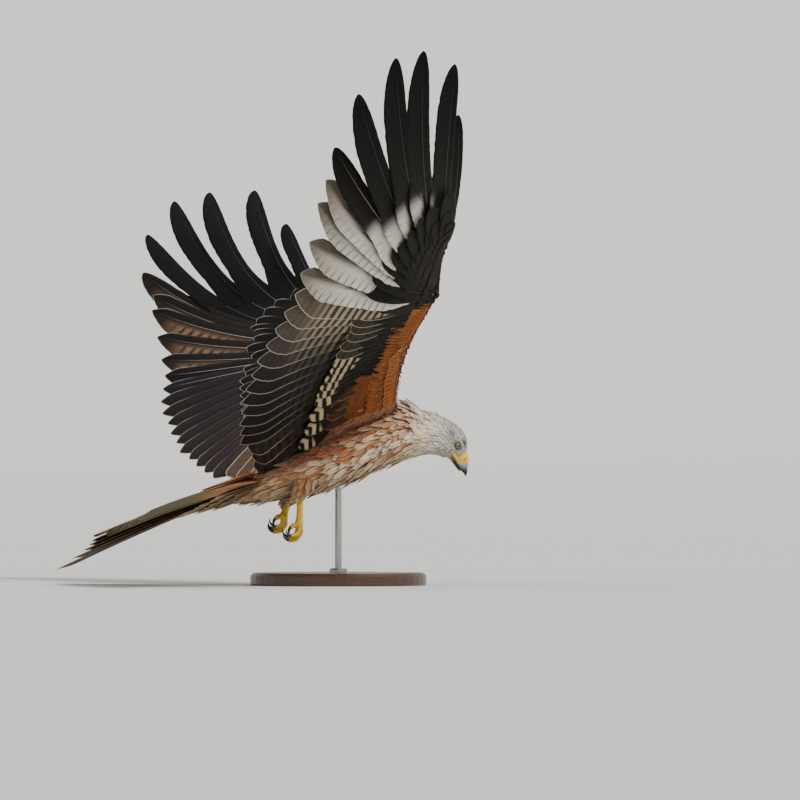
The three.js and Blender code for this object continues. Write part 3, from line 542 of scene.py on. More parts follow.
def one_piece(name, tubes, material, voxel, passes):
    """Tubes grown together into one soft closed surface."""
    points, faces = join_tubes(tubes)
    rough = new_object(name + "_form", placed(points), faces, material)
    grown = rough.modifiers.new("one_piece", "REMESH")
    grown.mode = "VOXEL"
    grown.voxel_size = voxel / 1000
    grown.use_smooth_shade = True
    relax = rough.modifiers.new("relax", "SMOOTH")
    relax.factor = 0.5
    relax.iterations = passes
    return made_plain(rough, name)


def dress(piece, slot, *nodes):
    """Lets a piece ride on the model in place of the nodes it stands for. The slot it is given is not used.
    """
    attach(piece, "root")
    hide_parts(*nodes)


skin = one_piece("skin", tubes, down, SKIN_VOXEL, 4)
dress(skin, "body_plumage", "torso", "neck", "head", "leg_left_thigh", "leg_right_thigh")


def level(points):
    """Points in metres back in the level bird's millimetres."""
    return (np.asarray(points, float) * 1000 - (0, 0, SHOULDER_HEIGHT)) @ BANK


def vertices_of(mesh, wanted="co"):
    values = np.zeros(len(mesh.vertices) * 3, np.float32)
    mesh.vertices.foreach_get(wanted, values)
    return values.reshape(-1, 3).astype(float)


# The flight feathers
# Ten primaries, twelve secondaries and four tertials to a wing, each a stiff vane on a tapering shaft. The
# outer six primaries are cut in like fingers. They are rooted in the flesh and overlap like slats.
# How a feather bends, as shares of its length: towards the leading edge, and upwards in the middle.
ARM_BOW = 0.03
PRIMARY_BOWS = [0, -0.005, -0.014, -0.028, -0.048, -0.07, -0.09, -0.092, -0.072, -0.02]
FLIGHT_CAMBER = {"arm": 0.022, "hand": -0.08}
PRIMARY_LEAD = [14, 14, 14, 14, 14, 13, 13, 13, 11, 8]
PRIMARY_TRAIL = [33, 33, 33, 34, 36, 35, 35, 34, 32, 25]
SECONDARY_WEBS = (14, 35)
TERTIAL_WEBS = (17, 30)
FIRST_FINGER = 5
FLIGHT_TILT = 7
# The air bends the trailing webs of the free fingers up, so that each twists about its shaft, in degrees.
FINGER_TWIST = {"right": -6, "left": -33}
FINGER_NOTCHES = (0.12, 0.22)
VANE_EDGE = 0.16
SHAFT_THICK = (1.35, 0.25)
BAR_SPACING = 15
random = np.random.default_rng(5)


def flight_feather(q, wing):
    """The flight feather at q: its root, way, length and bend, and the up way along it."""
    place, way, length = feather_at(q, wing)
    inner_place, inner_way, _ = feather_at(q - 0.5, wing)
    outer_place, outer_way, _ = feather_at(q + 0.5, wing)

    def up_along(reached):
        reached = np.asarray(reached, float)[..., None]
        across = inner_place - outer_place + (inner_way - outer_way) * reached
        return unit(np.cross(way, across))

    bow = along(PRIMARY_BOWS, q - 0.5) if q > 0.5 else lerp(ARM_BOW, PRIMARY_BOWS[0], smooth(q, -5, 0.5))
    camber = lerp(FLIGHT_CAMBER["arm"], FLIGHT_CAMBER["hand"], float(smooth(q, -4, 4)))
    return {"place": place, "way": way, "length": length, "up": up_along, "bow": float(bow), "camber": camber}


def web_width(share, kind, wide, notch, tip):
    """A web's width at shares of the feather's length: fingers are cut in, and tips are round."""
    root = 0.3 + 0.7 * smooth(share, 0, 0.4)
    if kind == "finger":
        root = root * (1 - notch * smooth(share, 0.4, 0.57))
    if kind == "widening":
        root = 0.3 + 0.56 * smooth(share, 0, 0.4) + 0.14 * smooth(share, 0.4, 0.95)
    if kind == "covert":
        root = 0.5 + 0.5 * smooth(share, 0, 0.6)
    rounding = np.clip((share - (1 - tip)) / tip, 0, 1)
    if kind == "slant":
        return wide * root * (1 - np.minimum(rounding, 0.998) ** 1.4) ** 0.75
    return wide * root * np.sqrt(1 - np.minimum(rounding, 0.998) ** 2.2)


def vane(feather, kind, lead, trail, tilt, rise, rows, sides, tips=(0.08, 0.13), ragged=0.0, twist=None):
    """A thin feather about its shaft, upper and lower face, with what its material reads at every point."""
    share = 1 - (1 - np.linspace(0, 1, rows)) ** 1.25
    length = feather["length"]
    up = feather["up"](share * length)
    way = np.broadcast_to(feather["way"], up.shape)
    trailing = unit(np.cross(up, way))
    turn = np.radians(lerp(tilt, tilt if twist is None else twist, smooth(share, 0.34, 0.66)))[:, None]
    across = trailing * np.cos(turn) - up * np.sin(turn)
    over = up * np.cos(turn) + trailing * np.sin(turn)
    bulge = (4 * share * (1 - share) * length)[:, None]
    height = np.interp(share, np.linspace(0, 1, len(rise)), rise)[:, None]
    centre = feather["place"] + way * (share * length)[:, None]
    centre = centre - trailing * feather["bow"] * bulge + up * (feather["camber"] * bulge + height)
    leading = web_width(share, kind, lead, FINGER_NOTCHES[0], tips[0])
    following = web_width(share, kind, trail, FINGER_NOTCHES[1], tips[1])
    if ragged:
        leading = leading * (1 - ragged * random.random(rows) ** 3)
        following = following * (1 - ragged * random.random(rows) ** 3)
    u = np.concatenate([-np.linspace(1, 0, sides[0] + 1)[:-1], np.linspace(0, 1, sides[1] + 1)])
    out = np.where(u[None, :] < 0, leading[:, None], following[:, None]) * u[None, :]
    # The webs curve down a little from the shaft, and the barbs sweep towards the tip.
    dish = -0.09 * np.abs(out) * np.abs(u)[None, :]
    sweep = 0.2 * np.abs(out) * (share * (1 - share**6))[:, None]
    middle = centre[:, None, :] + across[:, None, :] * out[..., None] + over[:, None, :] * dish[..., None]
    middle = middle + way[:, None, :] * sweep[..., None]
    thick = VANE_EDGE + 0.12 * (1 - np.abs(u))
    lift = over[:, None, :] * thick[None, :, None]
    wide = np.where(u[None, :] < 0, leading[:, None], following[:, None])
    edge = np.minimum((1 - np.abs(u))[None, :] * wide, ((1 - share) * length)[:, None])
    lie = np.stack(np.broadcast_arrays(u[None, :], share[:, None], edge), axis=-1)
    flat = np.stack([out, np.broadcast_to((share * length)[:, None], out.shape)], axis=-1)
    return {"upper": middle + lift, "lower": middle - lift, "lie": lie, "flat": flat, "centre": centre}


def vane_faces(rows, columns):
    """Faces of a closed vane whose upper points come first and whose lower points follow."""
    upper = np.arange(rows * columns).reshape(rows, columns)
    lower = upper + rows * columns
    quad = lambda a, b, c, d: np.stack([a, b, c, d], axis=-1).reshape(-1, 4)
    faces = [quad(upper[:-1, :-1], upper[1:, :-1], upper[1:, 1:], upper[:-1, 1:])]
    faces.append(quad(lower[:-1, :-1], lower[:-1, 1:], lower[1:, 1:], lower[1:, :-1]))
    faces.append(quad(upper[:-1, 0], lower[:-1, 0], lower[1:, 0], upper[1:, 0]))
    faces.append(quad(upper[:-1, -1], upper[1:, -1], lower[1:, -1], lower[:-1, -1]))
    faces.append(quad(upper[0, :-1], upper[0, 1:], lower[0, 1:], lower[0, :-1]))
    faces.append(quad(upper[-1, :-1], lower[-1, :-1], lower[-1, 1:], upper[-1, 1:]))
    return np.concatenate(faces)


def set_attribute(mesh, name, values):
    """A value at every vertex, which is a number, a vector of three or a colour of four."""
    values = np.asarray(values, np.float32)
    kinds = {1: ("FLOAT", "value"), 3: ("FLOAT_VECTOR", "vector"), 4: ("FLOAT_COLOR", "color")}
    kind, field = kinds[values.size // len(mesh.vertices)]
    mesh.attributes.new(name, kind, "POINT").data.foreach_set(field, values.ravel())


def set_map(mesh, name, values):
    """A UV map from a pair of values at every vertex."""
    corners = np.zeros(len(mesh.loops), np.int32)
    mesh.loops.foreach_get("vertex_index", corners)
    made = mesh.uv_layers.new(name=name)
    made.data.foreach_set("uv", np.asarray(values, np.float32)[corners].ravel())


def vanes_object(name, vanes, paints, material, place):
    """One object of many vanes. A paint gives, for each face, the colours ground, second and rim, and the
    marks: how strong the bars are, how wide, how strong the rim, and how far in it reaches."""
    points, faces, lie, flat, spread = [], [], [], [], []
    colours = {"ground": [], "second": [], "rim": [], "marks": []}
    first = 0
    columns = math.ceil(math.sqrt(2 * len(vanes)))
    for k, (made, paint) in enumerate(zip(vanes, paints)):
        rows, sides = made["lie"].shape[:2]
        faces.append(vane_faces(rows, sides) + first)
        first += 2 * rows * sides
        for face, (half, look) in enumerate((("upper", paint[0]), ("lower", paint[1]))):
            points.append(made[half].reshape(-1, 3))
            lie.append(made["lie"].reshape(-1, 3))
            flat.append(made["flat"].reshape(-1, 2) / 1000)
            cell = 2 * k + face
            corner = np.array([cell % columns, cell // columns]) / columns
            local = (made["lie"][..., :2].reshape(-1, 2) * (0.5, 1) + (0.5, 0)) * 0.96 + 0.02
            spread.append(corner + local / columns)
            for key, value in zip(colours, look(made["lie"][..., 0], made["lie"][..., 1])):
                colours[key].append(np.broadcast_to(colour(value), (rows, sides, 4)).reshape(-1, 4))
    made = new_object(name, placed(place(np.concatenate(points))), np.concatenate(faces).tolist(), material)
    mesh = made.data
    set_attribute(mesh, "lie", np.concatenate(lie))
    for key, values in colours.items():
        set_attribute(mesh, key, np.concatenate(values))
    set_map(mesh, "Vane", np.concatenate(flat))
    set_map(mesh, "OFBake", np.concatenate(spread))
    return made


# Keratin barbs zipped into a smooth web: a low silky sheen that runs with the barbs. The barbs are drawn
# 1.1 mm apart, about three times too coarse, so that they show. Bars and dark tips are melanin in the web.
BARB_SPACING = 0.0011
BARB_LEAN = 1.1
HALF_BAR = BAR_SPACING / 2000
MATH = "ShaderNodeMath"
TIMES, PLUS, MINUS = {"operation": "MULTIPLY"}, {"operation": "ADD"}, {"operation": "SUBTRACT"}
TIMES_PLUS = {"operation": "MULTIPLY_ADD"}
EASED = {"interpolation_type": "SMOOTHSTEP"}


def span(value, low, high, to_low=0.0, to_high=1.0):
    """What a map-range node is told: the span that its value runs over, and what that becomes."""
    return {"Value": value, "From Min": low, "From Max": high, "To Min": to_low, "To Max": to_high}


def vane_material(name, roughness, bar_soft, bump_height):
    """A web that takes its colours and marks from the attributes of its vanes. Lengths are in metres."""
    material, tree, shader = new_material(
        name, Roughness=roughness, Sheen_Weight=0.02, Sheen_Roughness=0.45, Specular_IOR_Level=0.1
    )
    read = {
        key: add(tree, "ShaderNodeAttribute", {"attribute_name": key})
        for key in ("ground", "second", "rim", "marks", "lie")
    }
    flat = add(tree, "ShaderNodeSeparateXYZ", inputs={0: add(tree, "ShaderNodeUVMap", {"uv_map": "Vane"})})
    lie = add(tree, "ShaderNodeSeparateXYZ", inputs={0: read["lie"].outputs["Vector"]})
    marks = add(tree, "ShaderNodeSeparateColor", inputs={0: read["marks"]})
    rim_reach = read["marks"].outputs["Alpha"]
    where = add(tree, "ShaderNodeTexCoord").outputs["Object"]
    seed = add(tree, "ShaderNodeTexNoise", inputs={"Vector": where, "Scale": 55, "Detail": 1})
    aside = add(tree, MATH, {"operation": "ABSOLUTE"}, {0: flat.outputs["X"]})
    lean = add(tree, MATH, TIMES, {0: aside, 1: BARB_LEAN})
    barb = add(tree, MATH, MINUS, {0: flat.outputs["Y"], 1: lean})
    wobble = add(tree, MATH, TIMES_PLUS, {0: seed, 1: 0.008, 2: barb})
    count = add(tree, MATH, TIMES, {0: wobble, 1: 1 / BARB_SPACING})
    across = add(tree, MATH, TIMES, {0: flat.outputs["X"], 1: 60})
    strand = add(tree, "ShaderNodeCombineXYZ", inputs={0: count, 1: across})
    stripes = add(
        tree,
        "ShaderNodeTexNoise",
        {"noise_dimensions": "2D"},
        {"Vector": strand, "Scale": 1, "Detail": 3, "Roughness": 0.65},
    )
    # Bars cross the web at an even spacing, and fray along the barbs.
    swept = add(tree, MATH, TIMES_PLUS, {0: aside, 1: -0.35, 2: flat.outputs["Y"]})
    frayed = add(tree, MATH, TIMES_PLUS, {0: stripes, 1: 0.004, 2: swept})
    uneven = add(tree, MATH, TIMES_PLUS, {0: seed, 1: 0.006, 2: frayed})
    beat = add(tree, MATH, {"operation": "PINGPONG"}, {0: uneven, 1: HALF_BAR})
    depth = add(tree, MATH, {"operation": "DIVIDE"}, {0: beat, 1: HALF_BAR})
    gap = add(tree, MATH, MINUS, {0: 1, 1: marks.outputs["Green"]})
    low = add(tree, MATH, MINUS, {0: gap, 1: bar_soft})
    high = add(tree, MATH, PLUS, {0: gap, 1: bar_soft})
    bar = add(tree, "ShaderNodeMapRange", EASED, span(depth, low, high))
    bar = add(tree, MATH, TIMES, {0: bar, 1: marks.outputs["Red"]})
    barred = add(tree, "ShaderNodeMix", RGBA, {0: bar, 6: read["ground"], 7: read["second"]})
    # The rim is a fringe of set width round the edge, in the rim's colour.
    near_edge = add(tree, MATH, MINUS, {0: lie.outputs["Z"], 1: 0.8})
    reach = add(tree, MATH, TIMES_PLUS, {0: stripes, 1: 1.6, 2: near_edge})
    full = add(tree, MATH, TIMES, {0: rim_reach, 1: 0.45})
    fringe = add(tree, "ShaderNodeMapRange", EASED, span(reach, rim_reach, full))
    fringe = add(tree, MATH, TIMES, {0: fringe, 1: marks.outputs["Blue"]})
    rimmed = add(tree, "ShaderNodeMix", RGBA, {0: fringe, 6: barred, 7: read["rim"]})
    brightness = add(tree, "ShaderNodeMapRange", EASED, span(stripes, 0.25, 0.75, 0.72, 1.22))
    lit = add(tree, "ShaderNodeVectorMath", {"operation": "SCALE"}, {0: rimmed, "Scale": brightness})
    set_look(tree, shader, lit, stripes, 0.55, bump_height)
    return material


flight_web = vane_material("stiff_flight_web", 0.55, 0.16, 0.0004)


def colour(tone):
    """A hex colour in linear light. Worked-out colours stay as they are."""
    return np.array(linear(tone)) if isinstance(tone, str) else tone


def graded(share, *stops):
    """A colour along the feather from (share, hex) stops."""
    at = [stop[0] for stop in stops]
    values = np.array([linear(stop[1]) for stop in stops])
    return np.stack([np.interp(share, at, values[:, c]) for c in range(4)], axis=-1)


def mixed(first, second, share):
    return colour(first) + (colour(second) - colour(first)) * np.asarray(share, float)[..., None]


def marks(bars, wide, rim, reach):
    return np.stack(np.broadcast_arrays(bars, wide, rim, reach), axis=-1).astype(float)


# How wide a strip of a flight feather stays dark below, next to its neighbour's edge, in millimetres.
DARK_STRIP = 10
# By primary, from the wrist out: where its white ends below, how white it is, and how strong its bars are.
WHITE_ENDS = [1.2, 1.2, 1.2, 1.2, 0.6, 0.46, 0.44, 0.43, 0.42, 0.4]
WHITE_SHARES = [1, 1, 1, 1, 1, 0.9, 0.85, 0.75, 0.35, 0.15]
PRIMARY_BARS = [1, 0.9, 0.75, 0.5, 0.35, 0.5, 0.45, 0.4, 0.2, 0]


def primary_paint(index):
    """Outer primaries are black beyond the coverts; inner ones are brown above, white and barred below."""
    black = index >= FIRST_FINGER
    dusk = 0.6 * float(smooth(index, 3.2, 4.8))
    spread = math.radians(PRIMARY_ANGLES[index] - PRIMARY_ANGLES[min(index + 1, PRIMARIES - 1)])
    step, length, web = HAND_LENGTH / (PRIMARIES - 1), PRIMARY_LENGTHS[index], PRIMARY_TRAIL[index]

    def upper(u, v):
        outer = graded(v, (0, "#2a211c"), (0.5, "#221c18"), (1, "#141210"))
        if black:
            return colour("#0a0909") + 0 * outer, "#070606", "#25211d", marks(0.3, 0.4, 0.15, 0.7)
        inner = graded(
            v, (0, "#6d5848"), (0.35, "#8d7058"), (0.82, "#7d624d"), (0.93, "#2b211b"), (1, "#251d18")
        )
        ground = mixed(mixed(outer, inner, smooth(u, 0.08, 0.3)), "#181512", dusk)
        bars = 0.85 * smooth(u, 0.1, 0.35) * smooth(v, 0.25, 0.42) * (1 - smooth(v, 0.84, 0.9)) * (1 - dusk)
        return ground, "#2c221b", "#b3a08d", marks(bars, 0.42, 0.8 * smooth(v, 0.82, 0.95), 1.3)

    def lower(u, v):
        end = WHITE_ENDS[index]
        # The next feather out hides all but a strip of this one, whose inner side is dark.
        strip = step + length * math.sin(spread) * v
        edge = np.clip(1 - (strip - DARK_STRIP) / web, 0.16, 0.75)
        white = smooth(u, edge - 0.1, edge + 0.08) * (1 - smooth(v, end - 0.06, end + 0.03))
        white = white * WHITE_SHARES[index]
        pale = graded(
            v, (0, "#dfdccd"), (0.66, "#e9e5d8"), (0.86, "#c4bbad"), (0.95, "#8f8577"), (1, "#7d7265")
        )
        dark = graded(v, (0, "#2a2a21"), (0.66, "#2c2b23"), (0.85, "#5b554a"), (1, "#6a6257"))
        if index >= FIRST_FINGER - 1:
            dark = graded(v, (0, "#23231b"), (end, "#171611"), (1, "#0a0909"))
        bars = 0.8 * smooth(u, 0.4, 0.8) * smooth(v, 0.25, 0.4) * (1 - smooth(v, 0.9, 0.97))
        bars = bars * PRIMARY_BARS[index] * (v < end)
        rim = 0.5 * smooth(v, 0.7, 0.9) if index < FIRST_FINGER - 1 else 0
        return mixed(dark + 0 * pale, pale, white), "#4c463d", "#e4dccb", marks(bars, 0.2, rim, 1.1)

    return upper, lower


# How far apart the secondaries are rooted, and how fast they spread, as a share of the way along them.
SECONDARY_STEP = FOREARM_LENGTH / SECONDARIES
SECONDARY_FAN = math.sin(math.radians(SECONDARY_ANGLES[0] - SECONDARY_ANGLES[1]) / (SECONDARIES - 1))


def secondary_paint(index):
    """Secondaries are black-brown above with pale tips, and buff below with broad bars, darker inwards."""
    inwards = index / (SECONDARIES - 1)

    def upper(u, v):
        ground = graded(v, (0, "#1c1716"), (0.7, "#171314"), (1, "#131011"))
        ground = mixed(ground, "#3a2c29", 0.55 * inwards)
        ground = mixed(ground, "#352b29", 0.5 * smooth(u, 0.3, 0.8) * (1 - smooth(v, 0.85, 0.93)))
        rim = 0.9 * smooth(v, 0.78, 0.92)
        bars = 0.5 * smooth(u, 0.1, 0.4) * (1 - smooth(v, 0.84, 0.92))
        return ground, "#161210", "#b9aea2", marks(bars, 0.42, rim, 1.5)

    def lower(u, v):
        pale = mixed("#aa9c86", "#2d2721", float(smooth(inwards, 0, 0.55)))
        dark = mixed("#3b332b", "#161210", float(smooth(inwards, 0, 0.45)))
        tip = smooth(v, 0.68 - 0.1 * inwards, 0.86 - 0.1 * inwards)
        strip = SECONDARY_STEP + SECONDARY_LENGTHS[0] * SECONDARY_FAN * v
        edge = np.clip(1 - (strip - 0.7 * DARK_STRIP) / SECONDARY_WEBS[1], 0.1, 0.8)
        ground = mixed(pale + 0 * v[..., None], dark, 0.8 * tip)
        ground = mixed(ground, dark, 0.35 * (1 - smooth(u, edge - 0.12, edge + 0.1)))
        bars = 0.95 * smooth(v, 0.1, 0.3) * (1 - 0.75 * tip)
        rim = (0.95 - 0.35 * inwards) * smooth(v, 0.45, 0.8)
        bar = mixed("#332b24", "#161210", float(smooth(inwards, 0, 0.5)))
        return ground, bar, "#cfc3ae", marks(bars, 0.5, rim, 1.7)

    return upper, lower


def tertial_paint():
    """Tertials are brown with cream edges, and dark below."""

    def upper(u, v):
        ground = graded(v, (0, "#4d3a2f"), (1, "#5b4638")) + 0 * u[..., None]
        return ground, "#2a211c", "#d8c7ae", marks(0.25, 0.4, 0.95, 2.4)

    def lower(u, v):
        ground = graded(v, (0, "#28221d"), (1, "#352c25")) + 0 * u[..., None]
        return ground, "#171310", "#cdbca2", marks(0.5, 0.45, 0.9 * smooth(v, 0.6, 0.85), 1.5)

    return upper, lower


def flight_vane(q, wing):
    feather = flight_feather(q, wing)
    feather["length"] *= 1 + 0.024 * (random.random() - 0.5)
    height = root_height(q)
    rise = (height, 0.7 * height, 0.7 * height)
    if q < ELBOW_Q:
        made = vane(feather, "round", *TERTIAL_WEBS, FLIGHT_TILT, rise, 44, (3, 4), ragged=0.05)
        return made, tertial_paint()
    if q < 0:
        tips = (0.08, 0.2)
        made = vane(feather, "slant", *SECONDARY_WEBS, FLIGHT_TILT, rise, 52, (3, 6), tips, ragged=0.04)
        return made, secondary_paint(int(-q))
    index = int(q)
    webs = PRIMARY_LEAD[index], PRIMARY_TRAIL[index]
    kind, tips = ("slant", (0.07, 0.2)) if index < FIRST_FINGER - 1 else ("finger", (0.15, 0.24))
    twist = FINGER_TWIST[wing] if index >= FIRST_FINGER else FLIGHT_TILT
    made = vane(feather, kind, *webs, FLIGHT_TILT, rise, 64, (3, 6), tips=tips, ragged=0.05, twist=twist)
    return made, primary_paint(index)


def shaft(made, thick):
    """A tapering shaft along a vane's middle."""
    places = made["centre"]
    share = np.linspace(0, 1, len(places))
    size = lerp(thick[0], thick[1], share)
    side = unit(np.cross(unit(np.gradient(places, axis=0)), (0, 0, 1)))[0]
    return tube(places, size, 0.75 * size, side, 6)


# The shaft is solid horn: dark and glossy above the black feathers, and ivory towards the root of pale ones.
quill, tree, shader = new_material("horny_quill", Roughness=0.35)
quill_tone = add(tree, "ShaderNodeAttribute", {"attribute_name": "ground"})
where = add(tree, "ShaderNodeTexCoord").outputs["Object"]
fleck = add(tree, "ShaderNodeTexNoise", inputs={"Vector": where, "Scale": 260, "Detail": 2})
worn = add(tree, "ShaderNodeMix", MULTIPLIED, {0: 0.35, 6: quill_tone, 7: fleck.outputs["Color"]})
set_look(tree, shader, worn)


def shafts_object(name, rings, tones, place):
    """One object of many shafts, each toned along its length."""
    points, faces = join_tubes(rings)
    made = new_object(name, placed(place(points)), faces, quill)
    values = [np.repeat(tone, ring.shape[1], axis=0) for ring, tone in zip(rings, tones)]
    set_attribute(made.data, "ground", np.concatenate(values))
    return made


def shaft_tones(q, share):
    """Black in the fingers, ivory in the inner primaries, pale on the first two secondaries as a painted
    highlight, and brown further in.
    """
    if q > FIRST_FINGER:
        return graded(share, (0, "#8d8271"), (0.4, "#2b2722"), (1, "#141210"))
    if q > 0:
        return graded(share, (0, "#cfc4ae"), (0.7, "#a3947e"), (1, "#4c4238"))
    # Painted highlight: the first two secondaries' shafts are drawn near white, for a glint along them.
    if q > -2:
        return graded(share, (0, "#d8d2c6"), (0.8, "#b5ada0"), (1, "#5c5248"))
    return graded(share, (0, "#5c5146"), (0.5, "#332c26"), (1, "#211c18"))


for wing in WINGS:
    place = lambda points, wing=wing: on_side(points, wing)
    for part, places in (("hand", np.arange(0.5, PRIMARIES)), ("arm", np.arange(-0.5, ROOT_Q + 1, -1))):
        vanes, paints = zip(*[flight_vane(q, wing) for q in places])
        blades = vanes_object(f"{part}_feathers_{wing}", vanes, paints, flight_web, place)
        rings = [shaft(made, SHAFT_THICK) for made in vanes]
        tones = [shaft_tones(q, np.linspace(0, 1, len(made["centre"]))) for q, made in zip(places, vanes)]
        stems = shafts_object(f"{part}_shafts_{wing}", rings, tones, place)
        for made in (blades, stems):
            dress(made, "wing_feathers", f"wing_{wing}_{part}")


# The wing coverts
# Tiers of shorter, softer feathers that close the roots of the flight feathers above and below, like tiles.
# Each tier is rooted nearer the leading edge than the last and lies over it.
# By tier: where it is rooted, as a share of the way from leading edge to bones; its lengths on arm and hand,
# as shares of the greater coverts'; how high its tips lie and how wide its webs are; and how far apart its
# feathers are, counted in flight feathers.
UPPER_TIERS = {
    "greater": (1.0, (1.0, 1.0), 1.6, (12, 23), 1.0),
    "median": (0.8, (0.62, 0.58), 2.6, (11, 16), 0.8),
    "lesser": (0.58, (0.42, 0.36), 3.4, (9, 12), 0.62),
    "small": (0.38, (0.32, 0.26), 4.0, (8, 10), 0.52),
    "marginal": (0.2, (0.22, 0.18), 4.4, (7, 8), 0.44),
}
UNDER_TIERS = {
    "greater": (1.0, (1.0, 1.0), 1.8, (14, 20), 1.0),
    "median": (0.74, (0.74, 0.74), 2.8, (12, 16), 0.8),
    "lesser": (0.52, (0.56, 0.54), 3.6, (10, 13), 0.6),
    "small": (0.32, (0.41, 0.38), 4.2, (8, 10), 0.5),
    "marginal": (0.14, (0.28, 0.24), 4.6, (7, 8), 0.42),
}
# How long the greater coverts over (1) and under (-1) the wing are, in millimetres at places along it. Under
# the wing they are longest just beyond the wrist.
GREATER_REACH = {
    1: ((-17, -13, -8, -4, 0, 2.5, 5, 7, 10), (84, 126, 138, 144, 152, 162, 164, 140, 100)),
    -1: (
        (-17, -13, -8, -4, -1.5, 0.5, 1.8, 3, 4.5, 8, 10),
        (74, 96, 104, 120, 146, 174, 184, 178, 164, 150, 104),
    ),
}
COVERT_TILT = 6.5
# How far the coverts keep off the flight feathers' webs, and how much of those webs' tilt they have to clear.
COVERT_CLEAR = 0.9
FLIGHT_SLATS = {1: 1.2, -1: 8.4}


def surface_height(q, face, reach, chord, feather):
    """How high over the bones the wing's upper or under face lies, a reach back from its leading edge."""
    share = reach / (chord + flesh_back(q))
    flesh = 0.8 * root_height(q) + face * flesh_swell(q, share) * (1 if face > 0 else 0.9)
    flesh = np.where(share < 1, flesh, -99 * face)
    along_feather = np.clip(reach - chord, 0, feather["length"])
    # The flight feathers are tilted like slats: trailing edges hang, and leading edges stand up.
    slat = FLIGHT_SLATS[face] * (0.3 + 0.7 * smooth(along_feather / feather["length"], 0, 0.4))
    bulge = 4 * along_feather * (1 - along_feather / feather["length"])
    web = root_height(q) * (1 - 0.3 * smooth(along_feather, 0, 120)) + feather["camber"] * bulge
    web = np.where(reach < chord, -99 * face, web + face * (COVERT_CLEAR + slat))
    return np.maximum(flesh, web) if face > 0 else np.minimum(flesh, web)


def covert(q, face, tier, wing):
    """One covert: it is rooted in the flesh and its tip lies on the tier below."""
    start, lengths, over, webs, _ = tier
    feather = flight_feather(q, wing)
    front, place, way = front_at(q), feather["place"], feather["way"]
    chord = float(np.linalg.norm(place - front))
    length = lerp(*lengths, float(smooth(q, -3, 3))) * float(np.interp(q, *GREATER_REACH[face]))
    length = length * (1 + 0.06 * (random.random() - 0.5))
    sideways = unit(np.cross(feather["up"](0.0), way))

    def at(reach):
        back = np.clip(reach - chord, 0, None)
        bulge = 4 * back * (1 - back / feather["length"])
        bow = sideways * feather["bow"] * bulge
        return front + (place - front) * min(reach / chord, 1) + way * back - bow

    begin, end = at(start * chord), at(start * chord + length)
    reaches = start * chord + length * np.linspace(0, 1, 12)
    heights = surface_height(q, face, reaches, chord, feather)
    # A feather is stiff, so it smooths the step between the flesh and the flight feathers.
    heights = np.convolve(np.pad(heights, 2, mode="edge"), np.ones(5) / 5, mode="valid")
    heights = heights + face * lerp(-1.2, over, np.linspace(0, 1, 12) ** 0.8)
    shape = {
        "place": begin,
        "way": unit(end - begin),
        "length": float(np.linalg.norm(end - begin)),
        "up": lambda reached: feather["up"](np.clip(reached + start * chord - chord, 0, None)),
        "bow": 0.01,
        "camber": 0,
    }
    wide = 1 + 0.12 * (random.random() - 0.5)
    rows = 16 if length > 60 else 11
    tilt = COVERT_TILT * (1 - 0.4 * (1 - start))
    return vane(shape, "covert", webs[0] * wide, webs[1] * wide, tilt, heights, rows, (3, 4), (0.3, 0.36))


def soft_paint(ground, second, rim, bars, rim_from, reach, tint=0.0):
    """A covert of one colour, with its bars, and a rim that shows from a share of its length on. Its leading
    web is drawn darker as painted shade.
    """
    base = mixed(ground, second, tint)

    def face(u, v):
        # Painted shade: the leading web is up to 12% darker.
        shade = base * (1 - 0.12 * smooth(-u, 0.2, 1))[..., None]
        edge = 0.95 * smooth(v, rim_from, min(rim_from + 0.2, 1))
        return shade, second, rim, marks(bars + 0 * v, 0.42, edge, reach)

    return face


def upper_covert_paint(tier, q):
    """Black-brown greater coverts with pale fringes, tawny median ones, rufous-brown lesser ones."""
    vary = 0.2 * random.random()
    if tier == "greater":
        return soft_paint("#12100f", "#1c1816", "#d6ccbe", 0, 0.8, 1.2, vary)
    if tier == "median":
        rim = "#8d6f50" if q < 0 else "#4a3d31"
        return soft_paint("#1b1613", "#2c221b", rim, 0, 0.55, 1.4, vary)
    rims = {"lesser": "#a87b50", "small": "#a8714a", "marginal": "#b9885c"}
    grounds = {"lesser": "#3a2a20", "small": "#513623", "marginal": "#6a4429"}
    return soft_paint(grounds[tier], "#2e2119", rims[tier], 0, 0.35, 1.8, vary)


def chequered_paint(q):
    """Olive-black at the root, and cream with black bars towards the tip, least near the body."""
    begin = lerp(0.5, 0.68, float(smooth(-q, 7, 11)))

    def face(u, v):
        ground = mixed("#1f1b14", "#bfae88", smooth(v, begin, begin + 0.06))
        ground = mixed(ground, "#6b5f48", 0.4 * smooth(-u, 0.1, 0.9))
        bars = smooth(v, begin - 0.1, begin)
        return ground, "#1d1914", "#c9ba98", marks(bars, 0.5, 0.3 * smooth(v, 0.9, 1), 1.0)

    return face


# From which feather inwards each tier of under coverts is rufous. Beyond it, and in the greater and median
# tiers, they are blackish with an olive bloom.
RUFOUS_FROM = {"lesser": -12.6, "small": -5, "marginal": -1.4}


